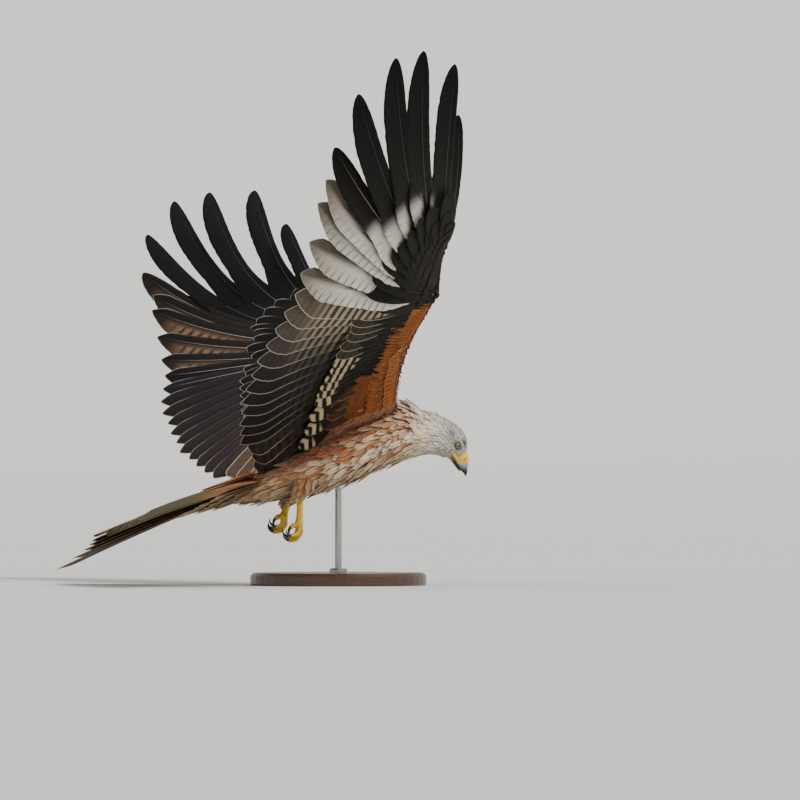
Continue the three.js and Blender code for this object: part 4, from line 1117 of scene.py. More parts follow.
def under_covert_paint(tier, q):
    """Blackish coverts, the greater ones chequered with cream near the body, then rufous ones."""
    vary = 0.25 * random.random()
    if tier == "greater":
        if q < -7:
            return chequered_paint(q)
        if q < -1:
            return soft_paint("#3d382d", "#26221b", "#b6aa92", 0.5, 0.35, 1.4, vary)
        return soft_paint("#17150f", "#26241a", "#34301f", 0.2, 0.6, 1.0, vary)
    if tier == "median":
        if q < -12.5:
            return soft_paint("#4a3322", "#231b15", "#a27048", 0.3, 0.5, 1.6, vary)
        return soft_paint("#15130e", "#221f16", "#3b3626" if q < -1 else "#2b2819", 0.2, 0.5, 1.0, vary)
    if q > RUFOUS_FROM[tier] + 1.2 * (random.random() - 0.5):
        return soft_paint("#15130e", "#262218", "#39331f", 0, 0.5, 1.0, vary)
    ground, rim = {
        "lesser": ("#7a4220", "#985a30"),
        "small": ("#935229", "#b06f3f"),
        "marginal": ("#a55f2d", "#c38750"),
    }[tier]
    return soft_paint(ground, "#47260f", rim, 0.35, 0.35, 1.3, vary)


# Softer, looser webs than the flight feathers': matter, with deeper furrows between the barbs.
soft_web = vane_material("soft_covert_web", 0.7, 0.2, 0.0005)

# The alula: how many feathers, their lengths and angles from first to last, and their webs.
ALULA = (3, (112, 78), (17, 2), (8, 13))


def alula_vanes():
    """A few stiff feathers along the front of the wrist."""
    count, lengths, angles, webs = ALULA
    made = []
    for k in range(count):
        share = k / (count - 1)
        angle = math.radians(lerp(*angles, share))
        shape = {
            "place": front_at(0.6 + share) - HAND_FORWARD * 7,
            "way": HAND_OUTWARD * math.cos(angle) - HAND_FORWARD * math.sin(angle),
            "length": lerp(*lengths, share),
            "up": lambda reached: np.broadcast_to(HAND_UP, (len(np.atleast_1d(reached)), 3)),
            "bow": 0.02,
            "camber": 0,
        }
        made.append(vane(shape, "covert", *webs, COVERT_TILT, (2, 10 - 1.3 * k), 18, (3, 4), (0.25, 0.3)))
    return made


for wing in WINGS:
    place = lambda points, wing=wing: on_side(points, wing)
    for face, tiers, name in ((1, UPPER_TIERS, "upper"), (-1, UNDER_TIERS, "under")):
        for part, first, last in (("arm", ROOT_Q + 1.6, -0.4), ("hand", 0.4, PRIMARIES - 0.8)):
            vanes = []
            paints = []
            for tier, sizes in tiers.items():
                for q in np.arange(first, last, sizes[4]):
                    vanes.append(covert(q, face, sizes, wing))
                    if face > 0:
                        paint = upper_covert_paint(tier, q)
                        paints.append((paint, soft_paint("#6d6357", "#575046", "#6d6357", 0, 0.9, 1)))
                    else:
                        paint = under_covert_paint(tier, q)
                        paints.append((paint, paint))
            if face > 0 and part == "hand":
                fingers = alula_vanes()
                alula_paint = (soft_paint("#1a1614", "#2a221d", "#4a3c30", 0, 0.6, 1), primary_paint(8)[1])
                vanes += fingers
                paints += [alula_paint] * len(fingers)
            made = vanes_object(f"{name}_coverts_{part}_{wing}", vanes, paints, soft_web, place)
            dress(made, "wing_feathers", f"wing_{wing}_{part}")


# The tail
# Six pairs of feathers fanned wide, the outer ones longest so that the tail is forked, with coverts over and
# under their roots. They are rooted in the rump and the inner ones lie over the outer ones.
TAIL_ROOT = np.array([-190, 0, -104])
TAIL_SLOPE = 21.5
TAIL_LENGTHS = [250, 250, 257, 275, 312, 374]
TAIL_ANGLES = [3.5, 12, 21, 30.5, 40.5, 50]
TAIL_LEAD = [26, 20, 20, 20, 20, 17]
TAIL_TRAIL = [26, 38, 40, 40, 40, 38]
TAIL_HEIGHT = (5.5, -5)
# In degrees. The left half is tilted the other way, so that it shows more of its underside in the view.
TAIL_TILT = {"left": -1.5, "right": 5}
TAIL_TOPMOST = 1.7
# Coverts of the tail by tier: count on a side, lengths, spread in degrees, how far aside the roots reach,
# heights at the root and at the tip, from the middle outwards, and webs.
TAIL_TIERS = {
    "upper": [
        (6, (104, 78), 36, 26, (13, 7), (11, 6), (13, 13)),
        (5, (76, 58), 34, 24, (15, 9), (14, 9), (11, 11)),
    ],
    "under": [
        (6, (126, 92), 38, 28, (-13, -6), (-11, -7), (14, 14)),
        (5, (98, 70), 34, 26, (-16, -9), (-15, -10), (12, 12)),
        (5, (72, 52), 34, 26, (-18, -11), (-19, -13), (11, 11)),
    ],
}
slope = math.radians(TAIL_SLOPE)
TAIL_BACK = np.array([-math.cos(slope), 0, -math.sin(slope)])
TAIL_UP = np.array([-math.sin(slope), 0, math.cos(slope)])


def tail_way(angle):
    return TAIL_BACK * math.cos(angle) + np.array([0, math.sin(angle), 0])


def tail_up(reached):
    return np.broadcast_to(TAIL_UP, (len(np.atleast_1d(reached)), 3))


def tail_paint(pair):
    """Rufous above with faint bars and pale tips; below, olive from painted shade and a painted green
    reflection, the outermost with a dark edge.
    """
    outer = pair == 6

    def upper(u, v):
        ground = graded(v, (0, "#b9713c"), (0.6, "#b26b3a"), (1, "#a5673c")) + 0 * u[..., None]
        if outer:
            ground = mixed(ground, "#3c332d", 0.85 * (1 - smooth(u, -0.35, 0.05)) * smooth(v, 0.15, 0.45))
        ground = mixed(ground, "#5d3d28", 0.55 * smooth(v, 0.9, 0.97))
        bars = 0.5 * smooth(u, 0, 0.4) * smooth(v, 0.3, 0.5)
        return ground, "#5a3822", "#dcb78c", marks(bars, 0.26, 0.8 * smooth(v, 0.8, 0.9), 1.8)

    def lower(u, v):
        # Painted shade and a painted green reflection: the pale grey-rufous underside is drawn dark olive.
        if outer:
            ground = graded(v, (0, "#c08658"), (0.4, "#ad7549"), (0.55, "#6b6238"), (1, "#4f4930"))
        else:
            ground = graded(v, (0, "#8c7850"), (0.3, "#665d38"), (1, "#4d472e"))
        ground = ground + 0 * u[..., None]
        if outer:
            ground = mixed(ground, "#2c2925", 0.85 * (1 - smooth(u, -0.3, 0.05)) * smooth(v, 0.3, 0.5))
        bars = 0.35 * smooth(v, 0.25, 0.45) * smooth(u, -0.2, 0.3)
        return ground, "#45402c", "#b5a480", marks(bars, 0.24, 0.6 * smooth(v, 0.6, 0.9), 1.4)

    return upper, lower


def tail_covert(tier, k):
    count, lengths, spread, apart, heights, rises, webs = tier
    share = (k + 0.3 + 0.4 * random.random()) / count
    shape = {
        "place": TAIL_ROOT + (-8, apart * share, -3),
        "way": tail_way(math.radians(spread * share)),
        "length": lerp(*lengths, share) * (1 + 0.08 * (random.random() - 0.5)),
        "up": tail_up,
        "bow": 0,
        "camber": 0,
    }
    rise = (lerp(*heights, share), lerp(*rises, share))
    return vane(shape, "covert", *webs, 2, rise, 16, (3, 3), tips=(0.34, 0.34))


for name, side in (("left", 1), ("right", -1)):
    place = lambda points, side=side: np.asarray(points) * (1, side, 1)
    vanes = []
    for pair in range(1, 7):
        share = (pair - 1) / 5
        raised = TAIL_TOPMOST if pair == 1 and side > 0 else 0.0
        shape = {
            "place": TAIL_ROOT + (0, lerp(1, 12, share), 0) + TAIL_UP * lerp(*TAIL_HEIGHT, share),
            "way": tail_way(math.radians(TAIL_ANGLES[pair - 1])),
            "length": TAIL_LENGTHS[pair - 1],
            "up": tail_up,
            "bow": 0.03,
            "camber": 0.012,
        }
        tilt = 0 if pair == 1 else TAIL_TILT[name]
        webs = TAIL_LEAD[pair - 1], TAIL_TRAIL[pair - 1]
        rise = (raised, raised)
        vanes.append(vane(shape, "widening", *webs, tilt, rise, 56, (4, 6), tips=(0.06, 0.1), ragged=0.04))
    paints = [tail_paint(pair) for pair in range(1, 7)]
    blades = vanes_object(f"tail_feathers_{name}", vanes, paints, flight_web, place)
    rings = [shaft(made, (1.6, 0.35)) for made in vanes]
    share = np.linspace(0, 1, 56)
    tones = [graded(share, (0, "#cdb892"), (1, "#5a4330"))] * 6
    stems = shafts_object(f"tail_shafts_{name}", rings, tones, place)
    vanes = []
    paints = []
    for face, tiers in TAIL_TIERS.items():
        for tier in tiers:
            for k in range(tier[0]):
                vanes.append(tail_covert(tier, k))
                vary = 0.3 * random.random()
                if face == "upper":
                    paint = soft_paint("#b8733f", "#8a5430", "#d9a877", 0.15, 0.5, 1.8, vary)
                else:
                    paint = soft_paint("#c7ab82", "#a58a63", "#dcc9a6", 0.1, 0.5, 1.8, vary)
                paints.append((paint, paint))
    coverts = vanes_object(f"tail_coverts_{name}", vanes, paints, soft_web, place)
    for made in (blades, stems, coverts):
        dress(made, "tail_feathers", "tail")


# The body's coat
# Thousands of small contour feathers over body, neck, head, thighs and the flesh of the wings. Each is rooted
# in the skin and lies back along the body, so that its tip covers the roots behind it.
SKIN_FACES = skin.data
SKIN_FACES.calc_loop_triangles()
corner_of = np.zeros(len(SKIN_FACES.loop_triangles) * 3, np.int32)
SKIN_FACES.loop_triangles.foreach_get("vertices", corner_of)
corner_of = corner_of.reshape(-1, 3)
skin_points = level(vertices_of(SKIN_FACES))
skin_ways = vertices_of(SKIN_FACES, "normal") @ BANK

# A net of known places on the body, the wings and the thighs. Every point of the skin takes from the nearest
# of them where it is and which way its feathers lie.
net = {"at": [], "way": [], "station": [], "turn": [], "region": []}


def add_to_net(region, at, way, station, turn):
    at, way = np.asarray(at, float), np.asarray(way, float)
    net["at"].append(at.reshape(-1, 3))
    net["way"].append(unit(way).reshape(-1, 3))
    net["station"].append(np.broadcast_to(station, at.shape[:-1]).ravel())
    net["turn"].append(np.broadcast_to(turn, at.shape[:-1]).ravel())
    net["region"].append(np.full(at[..., 0].size, region))


BODY, UPPER, UNDER, THIGH = range(4)
stations = np.arange(0, LAST_STATION + 0.01, 0.125)[:, None]
turns = (np.arange(64) / 64 * 2 * np.pi)[None, :]
inset = -along(COAT_DEPTH, stations)
behind = body_at(stations - 0.3, turns, inset) - body_at(stations, turns, inset)
behind = behind + 1e-3 * np.array([-1, 0, -0.4])
add_to_net(BODY, body_at(stations, turns, inset), behind, stations, turns)
for wing in WINGS:
    side = WINGS[wing][0]
    for q in np.arange(PRIMARIES - 0.2, ROOT_Q - 0.4, -0.4):
        spot, way, _ = feather_at(q, wing)
        share = np.linspace(0, 1, 14)
        middle, swell = flesh_at(q, wing, share)
        lie_back = unit(lerp(unit(spot - front_at(q)), way, 0.6))
        end = on_side(middle + lie_back, wing) - on_side(middle, wing)
        add_to_net(UPPER, on_side(middle + swell, wing), end, q, share * side)
        add_to_net(UNDER, on_side(middle - FLESH_UNDER * swell, wing), end, q, share * side)
for leg in LEGS:
    rings = thigh_rings(leg)
    side, knee, ankle, _ = LEGS[leg]
    down_leg = (np.array(ankle) - np.array(knee)) * (1, side, 1)
    add_to_net(THIGH, rings, np.broadcast_to(down_leg, rings.shape), np.arange(len(rings))[:, None], 0.0)
net = {key: np.concatenate(values) for key, values in net.items()}


def nearest(places, points):
    """For every point, which of the places is nearest to it."""
    tree = KDTree(len(places))
    for k, place in enumerate(places):
        tree.insert(place, k)
    tree.balance()
    return np.array([tree.find(point)[1] for point in points])


def scatter(count):
    """Evenly random points on the skin, with the skin's outward way at each."""
    a, b, c = (skin_points[corner_of[:, k]] for k in range(3))
    areas = np.linalg.norm(np.cross(b - a, c - a), axis=1) / 2
    chosen = random.choice(len(areas), count, p=areas / areas.sum())
    share, other = np.sqrt(random.random((count, 1))), random.random((count, 1))
    weights = (1 - share, share * (1 - other), share * other)
    at = sum(weight * skin_points[corner_of[chosen, k]] for k, weight in enumerate(weights))
    out = sum(weight * skin_ways[corner_of[chosen, k]] for k, weight in enumerate(weights))
    return at, unit(out)


def spread_out(at, spacing):
    """The indices of points kept so that none is nearer to another than its spacing."""
    kept = []
    cells = {}
    cell = float(spacing.max())
    keys = np.floor(at / cell).astype(int)
    around = [(i, j, k) for i in (-1, 0, 1) for j in (-1, 0, 1) for k in (-1, 0, 1)]
    for index, (x, y, z) in enumerate(keys.tolist()):
        point = at[index]
        near = [n for i, j, k in around for n in cells.get((x + i, y + j, z + k), ())]
        if near:
            gaps = at[near] - point
            if (np.einsum("ij,ij->i", gaps, gaps) < spacing[index] ** 2).any():
                continue
        cells.setdefault((x, y, z), []).append(index)
        kept.append(index)
    return np.array(kept)


def leaf(name, columns, rows, widths, tips):
    """A small feather of unit width, length and height: a closed ridge that rises to its tip."""
    u = np.linspace(-1, 1, columns)
    points = []
    lies = []
    for v, wide in zip(rows, widths):
        at = v - tips * (1 if v == 1 else 0.35 * (v > 0.5))
        for k in range(columns):
            points.append((0.5 * wide * u[k], at[k], v**0.72 - 0.05 * u[k] ** 2))
            lies.append((u[k], v, (1 - abs(u[k])) * min(1, 2.5 * (1 - v))))
        points.append((0, v - (tips.max() if v == 1 else 0), v**0.72 - 0.1))
        lies.append((0, v, 1 - v))
    mesh_points, faces = join_tubes([np.array(points).reshape(len(rows), columns + 1, 3)])
    made = new_object(name, mesh_points, faces, down)
    set_attribute(made.data, "lie", lies)
    return made


FULL_ROWS = (0, 0.2, 0.45, 0.7, 0.88, 1)
FULL_WIDTHS = (0.3, 0.75, 1, 0.92, 0.6, 0.22)
FULL_LEAF = leaf("full_leaf", 5, FULL_ROWS, FULL_WIDTHS, np.array([0.13, 0.02, 0, 0.06, 0.16]))
FINE_LEAF = leaf("fine_leaf", 3, (0, 0.4, 0.8, 1), (0.45, 1, 0.75, 0.2), np.array([0.06, 0, 0.08]))


def leaves_tree():
    """Puts a leaf on every point along the point's way, with its own patch of the bake map."""
    tree = bpy.data.node_groups.new("feathers_on_skin", "GeometryNodeTree")
    for name, kind, socket in (
        ("Roots", "INPUT", "NodeSocketGeometry"),
        ("Leaf", "INPUT", "NodeSocketObject"),
        ("Web", "INPUT", "NodeSocketMaterial"),
        ("Patch", "INPUT", "NodeSocketFloat"),
        ("Feathers", "OUTPUT", "NodeSocketGeometry"),
    ):
        tree.interface.new_socket(name, in_out=kind, socket_type=socket)
    given = add(tree, "NodeGroupInput")
    read = {
        key: add(tree, "GeometryNodeInputNamedAttribute", {"data_type": "FLOAT_VECTOR"}, {"Name": key})
        for key in ("way", "over", "size", "lie", "root_uv")
    }
    form = add(tree, "GeometryNodeObjectInfo", inputs={"Object": given.outputs["Leaf"]})
    turn = add(
        tree,
        "FunctionNodeAxesToRotation",
        {"primary_axis": "Y", "secondary_axis": "Z"},
        {0: read["way"], 1: read["over"]},
    )
    leaves = add(
        tree,
        "GeometryNodeInstanceOnPoints",
        inputs={
            "Points": given.outputs["Roots"],
            "Instance": form.outputs["Geometry"],
            "Rotation": turn,
            "Scale": read["size"],
        },
    )
    real = add(tree, "GeometryNodeRealizeInstances", inputs={"Geometry": leaves})
    scaled = {0: read["lie"], "Scale": given.outputs["Patch"]}
    patch = add(tree, "ShaderNodeVectorMath", {"operation": "SCALE"}, scaled)
    spot = add(tree, "ShaderNodeVectorMath", PLUS, {0: read["root_uv"], 1: patch})
    mapped = add(
        tree,
        "GeometryNodeStoreNamedAttribute",
        {"data_type": "FLOAT2", "domain": "CORNER"},
        {"Geometry": real, "Name": "OFBake", "Value": spot},
    )
    webbed = add(
        tree, "GeometryNodeSetMaterial", inputs={"Geometry": mapped, "Material": given.outputs["Web"]}
    )
    add(tree, "NodeGroupOutput", inputs={0: webbed})
    return tree


FEATHERS_ON_SKIN = leaves_tree()
BAKE_PATCH = 0.003

# Loose, matt, downy-edged webs. The shaft streak is darker melanin, and the rim is worn pale by the sun.
# Their barbs are drawn 0.8 mm apart, about three times too coarse.
SOFT_BARB_SPACING = 0.0008
contour, tree, shader = new_material(
    "soft_contour_web", Roughness=0.8, Sheen_Weight=0.35, Sheen_Roughness=0.55, Specular_IOR_Level=0.25
)
read = {
    key: add(tree, "ShaderNodeAttribute", {"attribute_name": key})
    for key in ("ground", "second", "rim", "marks", "lie", "size")
}
lie = add(tree, "ShaderNodeSeparateXYZ", inputs={0: read["lie"].outputs["Vector"]})
size = add(tree, "ShaderNodeSeparateXYZ", inputs={0: read["size"].outputs["Vector"]})
marking = add(tree, "ShaderNodeSeparateColor", inputs={0: read["marks"]})
aside = add(tree, MATH, {"operation": "ABSOLUTE"}, {0: lie.outputs["X"]})
reach = add(tree, MATH, TIMES, {0: lie.outputs["Y"], 1: size.outputs["Y"]})
outward = add(tree, MATH, TIMES, {0: aside, 1: size.outputs["X"]})
slanted = add(tree, MATH, TIMES_PLUS, {0: outward, 1: -0.7, 2: reach})
barb = add(tree, MATH, TIMES, {0: slanted, 1: 1 / SOFT_BARB_SPACING})
sideways = add(tree, MATH, TIMES, {0: lie.outputs["X"], 1: size.outputs["X"]})
across = add(tree, MATH, TIMES, {0: sideways, 1: 500})
strand = add(tree, "ShaderNodeCombineXYZ", inputs={0: barb, 1: across})
stripes = add(
    tree,
    "ShaderNodeTexNoise",
    {"noise_dimensions": "2D"},
    {"Vector": strand, "Scale": 1, "Detail": 2, "Roughness": 0.6},
)
# The streak lies along the shaft, as wide as the marks say.
from_shaft = add(tree, MATH, MINUS, {0: aside, 1: 0.17})
frayed = add(tree, MATH, TIMES_PLUS, {0: stripes, 1: 0.35, 2: from_shaft})
wide = marking.outputs["Green"]
full = add(tree, MATH, TIMES, {0: wide, 1: 0.35})
streak = add(tree, "ShaderNodeMapRange", EASED, span(frayed, wide, full))
streak = add(tree, MATH, TIMES, {0: streak, 1: marking.outputs["Red"]})
toned = add(tree, "ShaderNodeMix", RGBA, {0: streak, 6: read["ground"], 7: read["second"]})
# The rim shows on the outer half of the feather only.
from_edge = add(tree, MATH, MINUS, {0: lie.outputs["Z"], 1: 0.15})
ragged = add(tree, MATH, TIMES_PLUS, {0: stripes, 1: 0.3, 2: from_edge})
rim_reach = read["marks"].outputs["Alpha"]
fringe = add(tree, "ShaderNodeMapRange", EASED, span(ragged, rim_reach, 0))
fringe = add(tree, MATH, TIMES, {0: fringe, 1: marking.outputs["Blue"]})
outer = add(tree, "ShaderNodeMapRange", EASED, span(lie.outputs["Y"], 0.3, 0.7))
fringe = add(tree, MATH, TIMES, {0: fringe, 1: outer})
rimmed = add(tree, "ShaderNodeMix", RGBA, {0: fringe, 6: toned, 7: read["rim"]})
brightness = add(tree, "ShaderNodeMapRange", EASED, span(stripes, 0.25, 0.75, 0.8, 1.15))
root_shade = add(tree, "ShaderNodeMapRange", EASED, span(lie.outputs["Y"], 0, 0.5, 0.6, 1))
shade = add(tree, MATH, TIMES, {0: brightness, 1: root_shade})
lit = add(tree, "ShaderNodeVectorMath", {"operation": "SCALE"}, {0: rimmed, "Scale": shade})
set_look(tree, shader, lit, stripes, 0.6, 0.0004)


def feathers_object(name, leaf_object, roots):
    """Grows a leaf from every root. roots holds, by name, what each feather is told."""
    mesh = bpy.data.meshes.new(name)
    mesh.from_pydata([tuple(point) for point in placed(roots["at"])], [], [])
    for key, values in roots.items():
        if key != "at":
            set_attribute(mesh, key, values)
    rough = bpy.data.objects.new(name + "_roots", mesh)
    scene.collection.objects.link(rough)
    grown = rough.modifiers.new("feathers", "NODES")
    grown.node_group = FEATHERS_ON_SKIN
    values = {"Leaf": leaf_object, "Web": contour, "Patch": BAKE_PATCH / 2}
    for item in FEATHERS_ON_SKIN.interface.items_tree:
        if item.name in values:
            grown[item.identifier] = values[item.name]
    return made_plain(rough, name)


# How long and wide the feathers are at each station of the body, and how far apart they are rooted.
STATION_LENGTHS = [30, 33, 32, 30, 29, 27, 22, 15, 8, 5.6, 4, 3.2]
STATION_WIDTHS = [8, 8.6, 8.6, 8.4, 8, 7, 5, 3.4, 2.2, 1.8, 1.5, 1.3]
STATION_GAPS = [4.2, 4.5, 4.5, 4.4, 4.2, 3.6, 2.7, 2.0, 1.5, 1.3, 1.15, 1.0]
# Length, width, gap and height of the feathers on the wings' flesh and on the thighs.
WING_FEATHER = (13.0, 7.0, 4.0, 1.6)
THIGH_FEATHER = (22, 6.5, 3.6, 4)
CANDIDATES = 120000
# How much the ways and the sizes of the feathers vary, as shares.
WAY_SPREAD = 0.07
SIZE_SPREAD = 0.16
# Bare places of the face, seen from its side: how wide the eyes' openings are, the cere before and below two
# places, and the corners of the mouth round three places, this far along and up.
EYE_BARE = 5.2
CERE_FROM = ((99, -60.5), (104.5, -56))
GAPE_AT = ((88, -57), (92.5, -61), (97, -66))
GAPE_BARE = (3.2, 2.4)

at, out = scatter(CANDIDATES)
spot = nearest(net["at"], at)
region, station, turn, way = net["region"][spot], net["station"][spot], net["turn"][spot], net["way"][spot]
on_body, on_thigh = region == BODY, region == THIGH
body_station = np.where(on_body, station, 3)
on_the_body = (
    along(STATION_LENGTHS, body_station),
    along(STATION_WIDTHS, body_station),
    along(STATION_GAPS, body_station),
    0.62 * along(COAT_DEPTH, body_station),
)
length, wide, gap, high = (np.where(on_body, here, there) for here, there in zip(on_the_body, WING_FEATHER))
# On a wing they are shortest round the leading edge, so that they wrap it closely.
edge_share = np.where(on_body | on_thigh, 1, smooth(np.abs(turn), 0.04, 0.3))
length, gap = length * lerp(0.42, 1, edge_share), gap * lerp(0.6, 1, edge_share)
length, wide, gap, high = (
    np.where(on_thigh, here, there) for here, there in zip(THIGH_FEATHER, (length, wide, gap, high))
)

# None grows in the eyes' openings or where the cere and the corners of the mouth are.
bare = np.zeros(len(at), bool)
for side in (1, -1):
    opening = (EYE_CENTRE + EYE_OUT * 4.6) * (1, side, 1)
    bare |= np.linalg.norm(at - opening, axis=1) < EYE_BARE
for x, z in CERE_FROM:
    bare |= (at[:, 0] > x) & (at[:, 2] < z)
for x, z in GAPE_AT:
    beside = (np.abs(at[:, 0] - x) < GAPE_BARE[0]) & (np.abs(at[:, 2] - z) < GAPE_BARE[1])
    bare |= beside & (np.abs(at[:, 1]) > 6)
# Nor does any grow on the end of the rump, which the roots of the tail cover.
bare |= on_body & (station < 1) & (np.einsum("ij,ij->i", way, out) > 0.55)
keep = spread_out(at[~bare], gap[~bare])
at, out, region, station, turn, way, length, wide, high = (
    values[~bare][keep] for values in (at, out, region, station, turn, way, length, wide, high)
)
way = unit(way - out * np.einsum("ij,ij->i", way, out)[:, None])
# Feathers part round the eyes instead of growing over them.
for side in (1, -1):
    from_eye = at - EYE_CENTRE * (1, side, 1)
    eye_way = EYE_OUT * (1, side, 1)
    from_eye = from_eye - eye_way * (from_eye @ eye_way)[:, None]
    distance = np.linalg.norm(from_eye, axis=1)
    away = unit(from_eye)
    near = (1 - smooth(distance, 7, 11)) * (at[:, 1] * side > 5)
    towards_it = np.minimum(np.einsum("ij,ij->i", way, away), 0)
    round_it = unit(np.cross(eye_way, away))
    round_it = round_it * np.where(np.einsum("ij,ij->i", way, round_it) < 0, -1, 1)[:, None]
    way = unit(way - (near * towards_it)[:, None] * away + (0.5 * near)[:, None] * round_it)
way = unit(way + WAY_SPREAD * random.standard_normal(way.shape))
vary = SIZE_SPREAD * random.standard_normal((len(at), 1)).clip(-1.8, 1.8)
size = np.stack([wide, length, high], axis=1) * (1 + vary)

# Markings, by where a feather is on the body. Height is -1 along the belly and 1 along the back.
height = np.sin(turn)
on_body = region == BODY


def drifts(across, along_body, cells):
    """A soft random pattern over the body, drawn out along it, from 0 to 1."""
    grid = random.random(cells)
    x, y = across * (cells[0] - 1), along_body * (cells[1] - 1)
    i, j = np.floor(x).astype(int).clip(0, cells[0] - 2), np.floor(y).astype(int).clip(0, cells[1] - 2)
    s, t = smooth(x - i, 0, 1), smooth(y - j, 0, 1)
    near, far = lerp(grid[i, j], grid[i + 1, j], s), lerp(grid[i, j + 1], grid[i + 1, j + 1], s)
    return lerp(near, far, t)


round_body, along_body = turn / (2 * np.pi) % 1, np.clip(station / LAST_STATION, 0, 1)
drift = drifts(round_body, along_body, (44, 16))
fine_drift = drifts(round_body, along_body, (90, 40))
drift = smooth(0.6 * drift + 0.25 * fine_drift + 0.15 * random.random(len(at)), 0.3, 0.7)
rufous = graded(height, (-1, "#b87f45"), (-0.3, "#b66b32"), (0.3, "#a85723"), (1, "#854720"))
cream = graded(height, (-1, "#dcc08f"), (-0.2, "#efdcb8"), (0.4, "#e4c493"), (1, "#ba8250"))
head_share = smooth(station, 6.4, 7.8)[:, None]
neck_share = smooth(station, 4.2, 6.2)[:, None]
body_ground = mixed(cream, rufous, np.clip(drift + 0.55 * smooth(height, -0.25, 0.45) - 0.08, 0, 1))
body_ground = lerp(body_ground, mixed("#f1e4c9", "#e3bd8e", 0.75 * drift**2), neck_share)
body_ground = lerp(body_ground, mixed("#f3eee2", "#e2d8c5", drift), head_share)
body_second = lerp(colour("#934a1d"), mixed("#bb8353", "#8e6a49", drift), neck_share)
body_second = lerp(body_second, colour("#9f947f"), head_share)
body_rim = lerp(mixed("#efdab2", "#c98a50", drift), colour("#f6efe0"), neck_share)
vent = (smooth(-height, 0.0, 0.7) * (1 - smooth(station, 1.5, 3)))[:, None]
body_ground = lerp(body_ground, mixed("#c8a57a", "#ad8459", drift), 0.8 * vent)
# Dark patches in front of the eye, partly its dark lores and partly painted shadow under the brow, patches
# behind
# it, and painted shade all round it: where each is, how far it reaches, its tone and how strong it is.
FACE_PATCHES = (
    # These two, in front of the eye: the dark lores, with painted shadow under the brow.
    ((106, 15.5, -46), 7, "#2b2621", 0.95),
    ((101.5, 15, -50.5), 4, "#3a332c", 0.8),
    ((90, 20, -34), 7.5, "#8a858c", 0.75),
    ((87, 21, -42), 5, "#7d7678", 0.6),
    # All round the eye: painted shade.
    ((94.5, 20.5, -47.5), 7.5, "#544d45", 0.7),
)
for (x, y, z), patch_reach, patch_tone, patch_share in FACE_PATCHES:
    gap_to = np.minimum(*(np.linalg.norm(at - (x, y * side, z), axis=1) for side in (1, -1)))
    patch = patch_share * (1 - smooth(gap_to, 0.5 * patch_reach, patch_reach))
    body_ground = lerp(body_ground, colour(patch_tone), patch[:, None])
strength = np.where(station > 6.6, 0.52, 0.35 + 0.45 * random.random(len(at)))
narrow = np.where(station > 6.6, 0.24, 0.2 + 0.15 * random.random(len(at)))
body_mark = np.stack([strength, narrow, np.full(len(at), 0.45), np.full(len(at), 0.4)], 1)
along_arm = smooth(-station, 1.5, 5)[:, None]
wing_upper = lerp(colour("#1b1613"), colour("#6b432a"), along_arm)
wing_under = lerp(colour("#17140f"), colour("#a8602f"), along_arm)
thigh_tone = np.where(random.random((len(at), 1)) < 0.4, colour("#cfab78"), colour("#b5824f"))
is_body, is_upper, is_under, is_thigh = ((region == kind)[:, None] for kind in (BODY, UPPER, UNDER, THIGH))
ground = np.where(is_upper, wing_upper, np.where(is_under, wing_under, thigh_tone))
ground = np.where(is_body, body_ground, ground)
second = np.where(is_body, body_second, np.where(is_thigh, colour("#8a4f2b"), ground * (0.5, 0.5, 0.5, 1)))
rim = np.where(is_thigh, colour("#dcb584"), lerp(ground, colour("#d9a070"), 0.55))
rim = np.where(is_body, body_rim, rim)
mark = np.where(is_body, body_mark, np.array([0.5, 0.3, 0.6, 0.4]))

# Each root's place on an unwrap of the skin: body by turn and station, and the wings and thighs beside it.
body_u, body_v = 0.02 + 0.58 * (turn / (2 * np.pi)) % 1, 0.05 + 0.9 * station / LAST_STATION
root_uv = np.stack([body_u, body_v, 0 * turn], axis=1)
wing_side = np.where(at[:, 1] > 0, 0.17, 0)
wing_u = 0.64 + wing_side + np.where(region == UPPER, 0.0, 0.085) + 0.075 * np.abs(turn)
wing_v = 0.05 + 0.9 * (station - ROOT_Q) / (PRIMARIES - ROOT_Q)
on_wing = (region == UPPER) | (region == UNDER)
root_uv[on_wing] = np.stack([wing_u, wing_v, 0 * turn], axis=1)[on_wing]
root_uv[region == THIGH] = (at[region == THIGH] * (0.0006, 0, 0.0006) + (0.12, 0.02, 0))[:, [0, 2, 1]] % 1

roots = {
    "at": at,
    "way": way @ BANK.T,
    "over": out @ BANK.T,
    "size": size / 1000,
    "ground": ground,
    "second": second,
    "rim": rim,
    "marks": mark,
    "root_uv": root_uv,
}
left = at[:, 1] > 0
# By coat: the leaf it is made of, its roots, its slot and the nodes it stands for.
coats = {
    "coat_head": (FINE_LEAF, on_body & (station > 7.3), "pale_plumage", ["head"]),
    "coat_neck": (FULL_LEAF, on_body & (station <= 7.3) & (station > 5), "pale_plumage", ["neck", "torso"]),
    "coat_body_left": (FULL_LEAF, on_body & (station <= 5) & left, "body_plumage", ["torso", "tail"]),
    "coat_body_right": (FULL_LEAF, on_body & (station <= 5) & ~left, "body_plumage", ["torso", "tail"]),
    "coat_thighs": (FULL_LEAF, region == THIGH, "body_plumage", ["leg_left_thigh", "leg_right_thigh"]),
    "coat_wing_left": (FULL_LEAF, on_wing & left, "body_plumage", ["wing_left_arm", "wing_left_hand"]),
    "coat_wing_right": (FULL_LEAF, on_wing & ~left, "body_plumage", ["wing_right_arm", "wing_right_hand"]),
}
for name, (leaf_object, wanted, slot, nodes) in coats.items():
    coat = feathers_object(name, leaf_object, {key: values[wanted] for key, values in roots.items()})
    dress(coat, slot, *nodes)
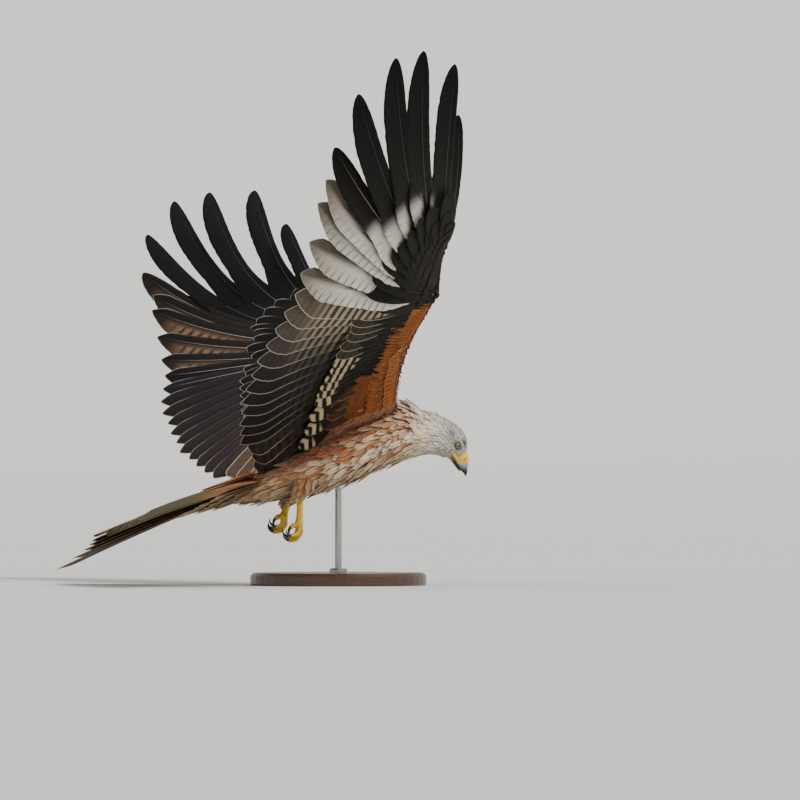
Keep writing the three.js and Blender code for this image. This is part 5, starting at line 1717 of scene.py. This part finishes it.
for leaf_object in (FULL_LEAF, FINE_LEAF):
    bpy.data.objects.remove(leaf_object)

# The skin takes the tone of the feathers over it, darkened to six tenths: painted shade between them.
set_attribute(SKIN_FACES, "ground", ground[nearest(at, skin_points)] * (0.6, 0.6, 0.6, 1))


# The eyes
# Glass eyes, as a museum sets them: a pale straw iris with a black pupil under a clear, wet, slightly bulging
# front. Bare grey lids lie on the ball, and the brow over it gives a bird of prey its frown.
PUPIL = 2.0
IRIS = 3.25
EYE_RADIUS = 6.6
BULGE = 0.45
LID_ROUND = 4.15
LID_THICK = 0.85

# The iris is painted under the glass: fine spokes, darker at its outer edge. The clear coat has the gloss.
glass_eye, tree, shader = new_material("wet_glass_eye", Roughness=0.3, Coat_Weight=1.0, Coat_Roughness=0.03)
shader.inputs["Coat IOR"].default_value = 1.38
told = add(tree, "ShaderNodeAttribute", {"attribute_name": "lie"})
lie = add(tree, "ShaderNodeSeparateXYZ", inputs={0: told.outputs["Vector"]})
spoke = add(tree, "ShaderNodeCombineXYZ", inputs={0: lie.outputs["Y"], 1: lie.outputs["Z"]})
spokes = add(tree, "ShaderNodeTexNoise", inputs={"Vector": spoke, "Scale": 7, "Detail": 4, "Roughness": 0.7})
straw = add(tree, "ShaderNodeMix", RGBA, {0: spokes, 6: linear("#80702f"), 7: linear("#d2c078")})
from_middle = lie.outputs["X"]
edge = add(tree, "ShaderNodeMapRange", inputs=span(from_middle, 0.72 * IRIS, 1.03 * IRIS))
limbus = add(tree, "ShaderNodeMix", RGBA, {0: edge, 6: straw, 7: linear("#2d2415")})
rim = add(tree, "ShaderNodeMapRange", inputs=span(from_middle, 0.93 * PUPIL, 1.08 * PUPIL))
painted = add(tree, "ShaderNodeMix", RGBA, {0: rim, 6: linear("#070606"), 7: limbus})
set_look(tree, shader, painted)

# Bare skin of the lids: grey-brown with fine creases 0.5 mm apart, a little greasy.
lid_skin, tree, shader = new_material("bare_lid_skin", Roughness=0.5)
where = add(tree, "ShaderNodeTexCoord").outputs["Object"]
crease = add(tree, "ShaderNodeTexNoise", inputs={"Vector": where, "Scale": 2000, "Detail": 3})
tone = add(tree, "ShaderNodeMix", RGBA, {0: crease, 6: linear("#26211d"), 7: linear("#6f675c")})
set_look(tree, shader, tone, crease, 0.5, 0.0002)


def closed_loop(rings):
    """The faces of a tube that runs round to its own start."""
    rows, sides = rings.shape[:2]
    index = np.arange(rows * sides).reshape(rows, sides)
    on, beside = np.roll(index, -1, 0), np.roll(index, -1, 1)
    return np.stack([index, beside, np.roll(on, -1, 1), on], axis=-1).reshape(-1, 4).tolist()


eye_down = unit(np.cross(EYE_OUT, np.cross(BROW_WAY, EYE_OUT)))
eye_over = -unit(np.cross(EYE_OUT, eye_down))
turns = np.arange(72) / 72 * 2 * np.pi
round_eye = np.cos(turns)[:, None] * eye_down + np.sin(turns)[:, None] * eye_over
for side, name in ((1, "left"), (-1, "right")):
    tilt = np.linspace(0.02, np.pi - 0.02, 44)
    off_axis = EYE_RADIUS * np.sin(tilt)
    front = np.cos(tilt) > 0
    ball = EYE_RADIUS + BULGE * np.where(front, 1 - smooth(off_axis, 0, 1.2 * IRIS), 0)
    outwards, aside = (ball * np.cos(tilt))[:, None, None], (ball * np.sin(tilt))[:, None, None]
    rings = EYE_CENTRE + outwards * EYE_OUT + aside * round_eye
    points, faces = join_tubes([rings * (1, side, 1)])
    eye = new_object(f"glass_eye_{name}", placed(points), faces, glass_eye)
    far = np.where(front, off_axis, 2 * EYE_RADIUS)[:, None] * np.ones(72)
    lies = np.stack(np.broadcast_arrays(far, np.cos(turns), np.sin(turns)), axis=-1)
    set_attribute(eye.data, "lie", lies)
    dress(eye, "eye", f"eye_{name}")
    # The upper lid comes down a little over the eye, and the lids meet in a corner at either end.
    upper = np.sin(turns)
    out_from = LID_ROUND * (1 - 0.13 * smooth(upper, 0, 1) + 0.1 * np.abs(np.cos(turns)) ** 6)
    depth = np.sqrt(EYE_RADIUS**2 - out_from**2) + 0.25 * smooth(upper, 0, 1)
    middle = EYE_CENTRE + depth[:, None] * EYE_OUT + out_from[:, None] * round_eye
    thick = LID_THICK * (1 + 0.3 * smooth(upper, 0, 1)) * (1 + 0.06 * random.standard_normal(72))
    section = np.arange(12) / 12 * 2 * np.pi
    lid = middle[:, None, :] + thick[:, None, None] * (
        np.cos(section)[None, :, None] * round_eye[:, None, :] + np.sin(section)[None, :, None] * EYE_OUT
    )
    lid_points = placed((lid * (1, side, 1)).reshape(-1, 3))
    lids = new_object(f"eyelids_{name}", lid_points, closed_loop(lid), lid_skin)
    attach(lids, "root")
    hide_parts("head")


# The cere and the bill
# A soft waxy yellow skin covers the base of the bill and runs back as the gape's fleshy edge under the eye.
# The nostrils open in it. Below it the horn of the upper bill hooks down over the lower one.
CERE_PATH = [(100, -52), (104.4, -60), (106.4, -66), (107.8, -71.4)]
CERE_DEEP = [11.5, 11.2, 10, 8.7]
CERE_WIDE = [10.5, 9.6, 8.4, 6.7]
GAPE_PATH = [(86, 15.2, -55.6), (91, 13.6, -59.5), (96, 10.4, -65), (100.4, 6.8, -71.4)]
GAPE_THICK = [0.9, 2.2, 2.4, 1.7]
UPPER_BILL_PATH = [(106.6, -69), (107.9, -71.8), (109, -76), (110.6, -80), (111.7, -84), (111.3, -88.6)]
UPPER_BILL_DEEP = [8.6, 8.4, 6.7, 4.5, 2.5, 0.35]
UPPER_BILL_WIDE = [6.5, 6.4, 5.2, 3.7, 2.1, 0.3]
LOWER_BILL_PATH = [(92, -62), (95.4, -67.5), (98.6, -72.5), (101.6, -77.5), (103.8, -81)]
LOWER_BILL_DEEP = [3.4, 3.2, 2.7, 2, 0.6]
LOWER_BILL_WIDE = [8.4, 7.4, 5.9, 4.1, 1.2]
NOSTRIL_AT = np.array([109, 7.6, -65.6])
NOSTRIL_DEEP = 1.5


def middle_tube(path, deep, wide, rows, sides):
    """A tube in the head's middle plane."""
    index = np.linspace(0, len(path) - 1, rows)
    x, z = (along([p[k] for p in path], index) for k in (0, 1))
    places = np.stack([x, 0 * x, z], axis=-1)
    return tube(places, along(wide, index), along(deep, index), (0, 1, 0), sides)


def carve(made, points):
    """Moves a plain object's points to places of the level bird in millimetres."""
    made.data.vertices.foreach_set("co", placed(points).astype(np.float32).ravel())
    made.data.update()


# Waxy skin: its own colour comes from the attribute, with fine pores 0.6 mm apart and a soft shine.
waxy_skin, tree, shader = new_material(
    "waxy_yellow_skin", Roughness=0.4, Coat_Weight=0.15, Coat_Roughness=0.35
)
tone = add(tree, "ShaderNodeAttribute", {"attribute_name": "ground"})
where = add(tree, "ShaderNodeTexCoord").outputs["Object"]
pores = add(tree, "ShaderNodeTexNoise", inputs={"Vector": where, "Scale": 1600, "Detail": 3})
mottled = add(tree, "ShaderNodeMix", OVERLAID, {0: 0.35, 6: tone, 7: pores.outputs["Color"]})
set_look(tree, shader, mottled, pores, 0.35, 0.00025)

index = np.linspace(0, 3, 22)
gapes = []
for side in (1, -1):
    places = np.stack([along([p[k] for p in GAPE_PATH], index) for k in range(3)], axis=-1) * (1, side, 1)
    thick = along(GAPE_THICK, index)
    gapes.append(tube(places, 1.15 * thick, thick, (0, 1, 0), 14))
cere_tube = middle_tube(CERE_PATH, CERE_DEEP, CERE_WIDE, 24, 40)
cere = one_piece("cere_skin", [cere_tube, *gapes], waxy_skin, 0.5, 3)
points = level(vertices_of(cere.data))
normals = vertices_of(cere.data, "normal") @ BANK
# How far a point is from the nostril of its own side, which is a slot along the bill.
hole = np.linalg.norm((np.abs(points) * (1, 1, -1) - NOSTRIL_AT) * (1, 0.4, 0.62), axis=1)
sunk = 1 - smooth(hole, 0.5, 1.35)
rolled = smooth(hole, 0.9, 1.5) * (1 - smooth(hole, 1.5, 2.6))
carve(cere, points - normals * (NOSTRIL_DEEP * sunk - 0.22 * rolled)[:, None])
yellow = mixed("#e4b01f", "#f0c540", smooth(points[:, 2], -72, -60))
yellow = mixed(yellow, "#c9c2a6", 0.7 * smooth(-points[:, 2], 69.5, 72.5))
# The nostrils' shallow dents are drawn near black: painted shade for the hollows.
set_attribute(cere.data, "ground", mixed(yellow, "#1c140c", sunk))

# Horn in thin layers that wear to fine lines along the bill, 0.4 mm apart, with a satin shine. The upper
# bill is pale grey under the cere and black at its tip.
horn, tree, shader = new_material("satin_horn", Roughness=0.34, Coat_Weight=0.25, Coat_Roughness=0.2)
tone = add(tree, "ShaderNodeAttribute", {"attribute_name": "ground"})
where = add(tree, "ShaderNodeTexCoord").outputs["Object"]
stretched = add(tree, "ShaderNodeMapping", inputs={"Vector": where, "Scale": (2400, 2400, 350)})
layers = add(tree, "ShaderNodeTexNoise", inputs={"Vector": stretched, "Scale": 1, "Detail": 3})
worn = add(tree, "ShaderNodeMix", OVERLAID, {0: 0.4, 6: tone, 7: layers.outputs["Color"]})
set_look(tree, shader, worn, layers, 0.3, 0.00015)

rings = middle_tube(UPPER_BILL_PATH, UPPER_BILL_DEEP, UPPER_BILL_WIDE, 44, 36)
# The ridge of the bill is narrow, and its cutting edges bulge a little under the nostril.
across = rings - rings.mean(axis=1, keepdims=True)
front = np.clip(across[..., 0:1] / np.abs(across[..., 0:1]).max(axis=1, keepdims=True), 0, 1)
rings[..., 1:2] *= 1 - 0.28 * front**2
points, faces = join_tubes([rings])
upper_bill = new_object("upper_bill_horn", placed(points), faces, horn)
share = smooth(-points[:, 2], 71, 82)
set_attribute(upper_bill.data, "ground", mixed("#a3a5a6", "#1b1a1b", share**0.8))
points, faces = join_tubes([middle_tube(LOWER_BILL_PATH, LOWER_BILL_DEEP, LOWER_BILL_WIDE, 34, 30)])
lower_bill = new_object("lower_bill_horn", placed(points), faces, horn)
set_attribute(lower_bill.data, "ground", mixed("#8d7c46", "#1f1d1e", smooth(-points[:, 2], 62, 70)))
for made, node, slot in (
    (cere, "cere", "scaled_skin"),
    (upper_bill, "bill_upper", "horn"),
    (lower_bill, "bill_lower", "horn"),
):
    dress(made, slot, node)


# The legs and claws
# Short bare yellow legs under the rump. Broad scutes lie across the front of the shank and the top of the
# toes, small round scales cover the rest, and soft pads bulge under the toes, which are curled in flight.
TARSUS_WIDE = 4.6
TARSUS_DEEP = 5.2
TARSUS_BOW = 1.5
TARSUS_SHARES = ([-0.25, 0, 0.2, 0.5, 0.8, 1], [0.7, 0.95, 0.95, 0.92, 1, 1.15])
FOOT_BALL = 6.2
# Each toe: how far aside it stands, its length, half its thickness, bearing and turn, and its claw's length.
TOES = {
    "inner": (-8.2, 25, 3.9, 72, 118, 16),
    "middle": (0, 33, 4, 58, 132, 15),
    "outer": (7.9, 26, 3.6, 68, 122, 13),
    "hind": (0, 13, 4.2, 192, -58, 14),
}
TOE_TAPER = (1.08, 0.76)
PADS = 3
PAD_SWELL = 0.09
CLAW_TURN = 95
CLAW_THICK = 0.62
SHANK_SCUTE = 3.4
TOE_SCUTE = 2.3
SCUTE_GROOVE = 0.42
LEG_SCALE = 1.7

# Horny scales over the skin: drawn as cells 1.7 mm across with darker seams, satin and dry.
scaled_skin, tree, shader = new_material("scaled_yellow_skin", Roughness=0.48)
tone = add(tree, "ShaderNodeAttribute", {"attribute_name": "ground"})
plain = add(tree, "ShaderNodeAttribute", {"attribute_name": "plain"})
where = add(tree, "ShaderNodeTexCoord").outputs["Object"]
cells = add(
    tree,
    "ShaderNodeTexVoronoi",
    {"feature": "DISTANCE_TO_EDGE"},
    {"Vector": where, "Scale": 1000 / LEG_SCALE},
)
seams = add(tree, "ShaderNodeMapRange", inputs={"Value": cells, "From Max": 0.14})
flat_seams = add(tree, "ShaderNodeMix", {"data_type": "FLOAT"}, {0: plain.outputs["Fac"], 2: seams, 3: 1.0})
seamed = add(tree, "ShaderNodeMix", RGBA, {0: flat_seams, 6: linear("#a8731c"), 7: tone})
set_look(tree, shader, seamed, flat_seams, 0.8, 0.0003)


def curl(start, bearing, turn, length, steps):
    """Places along an arc in the plane of the leg, from one bearing on by a turn."""
    bearings = np.radians(bearing + turn * (np.arange(steps) + 0.5) / steps)
    moves = np.stack([np.cos(bearings), 0 * bearings, -np.sin(bearings)], axis=-1) * length / steps
    return np.concatenate([[start], start + np.cumsum(moves, axis=0)])


for leg, (side, knee, ankle, foot) in LEGS.items():
    knee, ankle, foot = (np.array(place, float) for place in (knee, ankle, foot))
    share = np.linspace(TARSUS_SHARES[0][0], 1, 26)
    up_leg, down_leg = lerp(ankle, knee, -share[:, None]), lerp(ankle, foot, share[:, None])
    shank = np.where(share[:, None] < 0, up_leg, down_leg)
    shank = shank + np.array([1, 0, 0]) * (TARSUS_BOW * np.sin(np.pi * np.clip(share, 0, 1)))[:, None]
    thick = np.interp(share, *TARSUS_SHARES)
    tubes = [tube(shank, TARSUS_WIDE * thick, TARSUS_DEEP * thick, (0, 1, 0), 20)]
    knuckle = np.linspace(-0.96, 0.96, 9)
    ball = foot + knuckle[:, None] * (0, 0, -FOOT_BALL)
    round_ball = FOOT_BALL * np.sqrt(1 - knuckle**2)
    tubes.append(tube(ball, round_ball, round_ball, (0, 1, 0), 18))
    # Places along the middle of shank and toes, the way their scutes face and how long a scute is.
    lines = [(shank, np.array([1.0, 0, 0]), SHANK_SCUTE)]
    for toe, (aside, length, thick, bearing, turn, claw_length) in TOES.items():
        path = curl(foot + (0, aside, -1), bearing, turn, length, 24)
        share = np.linspace(0, 1, len(path))
        pads = 1 + PAD_SWELL * np.cos(share * PADS * 2 * np.pi)
        size = thick * pads * lerp(*TOE_TAPER, share)
        tubes.append(tube(path, size, size, (0, 1, 0), 16))
        way = unit(np.gradient(path, axis=0))
        outer = unit(np.cross(way, (0, -1, 0))) * np.sign(turn)
        lines.append((path, outer, TOE_SCUTE))
        claw_from = path[-1] + unit(path[-1] - path[-2]) * 0.4
        claw_path = curl(claw_from, bearing + turn, np.sign(turn) * CLAW_TURN, claw_length, 22)
        share = np.linspace(0, 1, len(claw_path))
        size = np.maximum(CLAW_THICK * thick * (1 - share / 1.02) ** 0.75, 0.12)
        claw = tube(claw_path, 0.82 * size, size, (0, 1, 0), 16)
        points, faces = join_tubes([claw * (1, side, 1)])
        made = new_object(f"claw_horn_{leg}_{toe}", placed(points), faces, horn)
        tones = mixed("#2b2724", "#0d0c0c", np.repeat(smooth(share, 0, 0.35), 16))
        set_attribute(made.data, "ground", tones)
        dress(made, "horn", f"claw_{leg}_{toe}")
    skinned = one_piece(f"leg_skin_{leg}", [rings * (1, side, 1) for rings in tubes], scaled_skin, 0.6, 3)
    points = level(vertices_of(skinned.data)) * (1, side, 1)
    normals = vertices_of(skinned.data, "normal") @ BANK * (1, side, 1)
    nearest_gap = np.full(len(points), 1e9)
    groove = np.zeros(len(points))
    plain = np.zeros(len(points))
    for path, outer, spacing in lines:
        gaps = np.linalg.norm(points[:, None, :] - path[None, :, :], axis=2)
        closest = gaps.argmin(axis=1)
        gap = gaps.min(axis=1)
        way = unit(np.gradient(path, axis=0))[closest]
        run = np.concatenate([[0], np.cumsum(np.linalg.norm(np.diff(path, axis=0), axis=1))])[closest]
        run = run + np.einsum("ij,ij->i", points - path[closest], way)
        facing = np.einsum("ij,ij->i", normals, np.broadcast_to(outer, path.shape)[closest])
        on_top = smooth(facing, 0.1, 0.5)
        phase = np.abs((run / spacing) % 1 - 0.5) * 2
        nearer = gap < nearest_gap
        groove = np.where(nearer, on_top * smooth(phase, 0.72, 1), groove)
        plain = np.where(nearer, on_top, plain)
        nearest_gap = np.minimum(nearest_gap, gap)
    carve(skinned, (points - normals * (SCUTE_GROOVE * groove)[:, None]) * (1, side, 1))
    # Painted light: the front of the shank and the tops of the toes, which face the light, are drawn a paler
    # yellow.
    tones = mixed("#f0bd2c", "#ffd964", 0.6 * plain)
    set_attribute(skinned.data, "ground", mixed(tones, "#9c6a17", 0.8 * groove))
    set_attribute(skinned.data, "plain", plain)
    dress(skinned, "scaled_skin", f"leg_{leg}_tarsus", f"leg_{leg}_toes")


# The sizes
# The low and high corners of the box of the solids, in metres.
low, high = cad_box
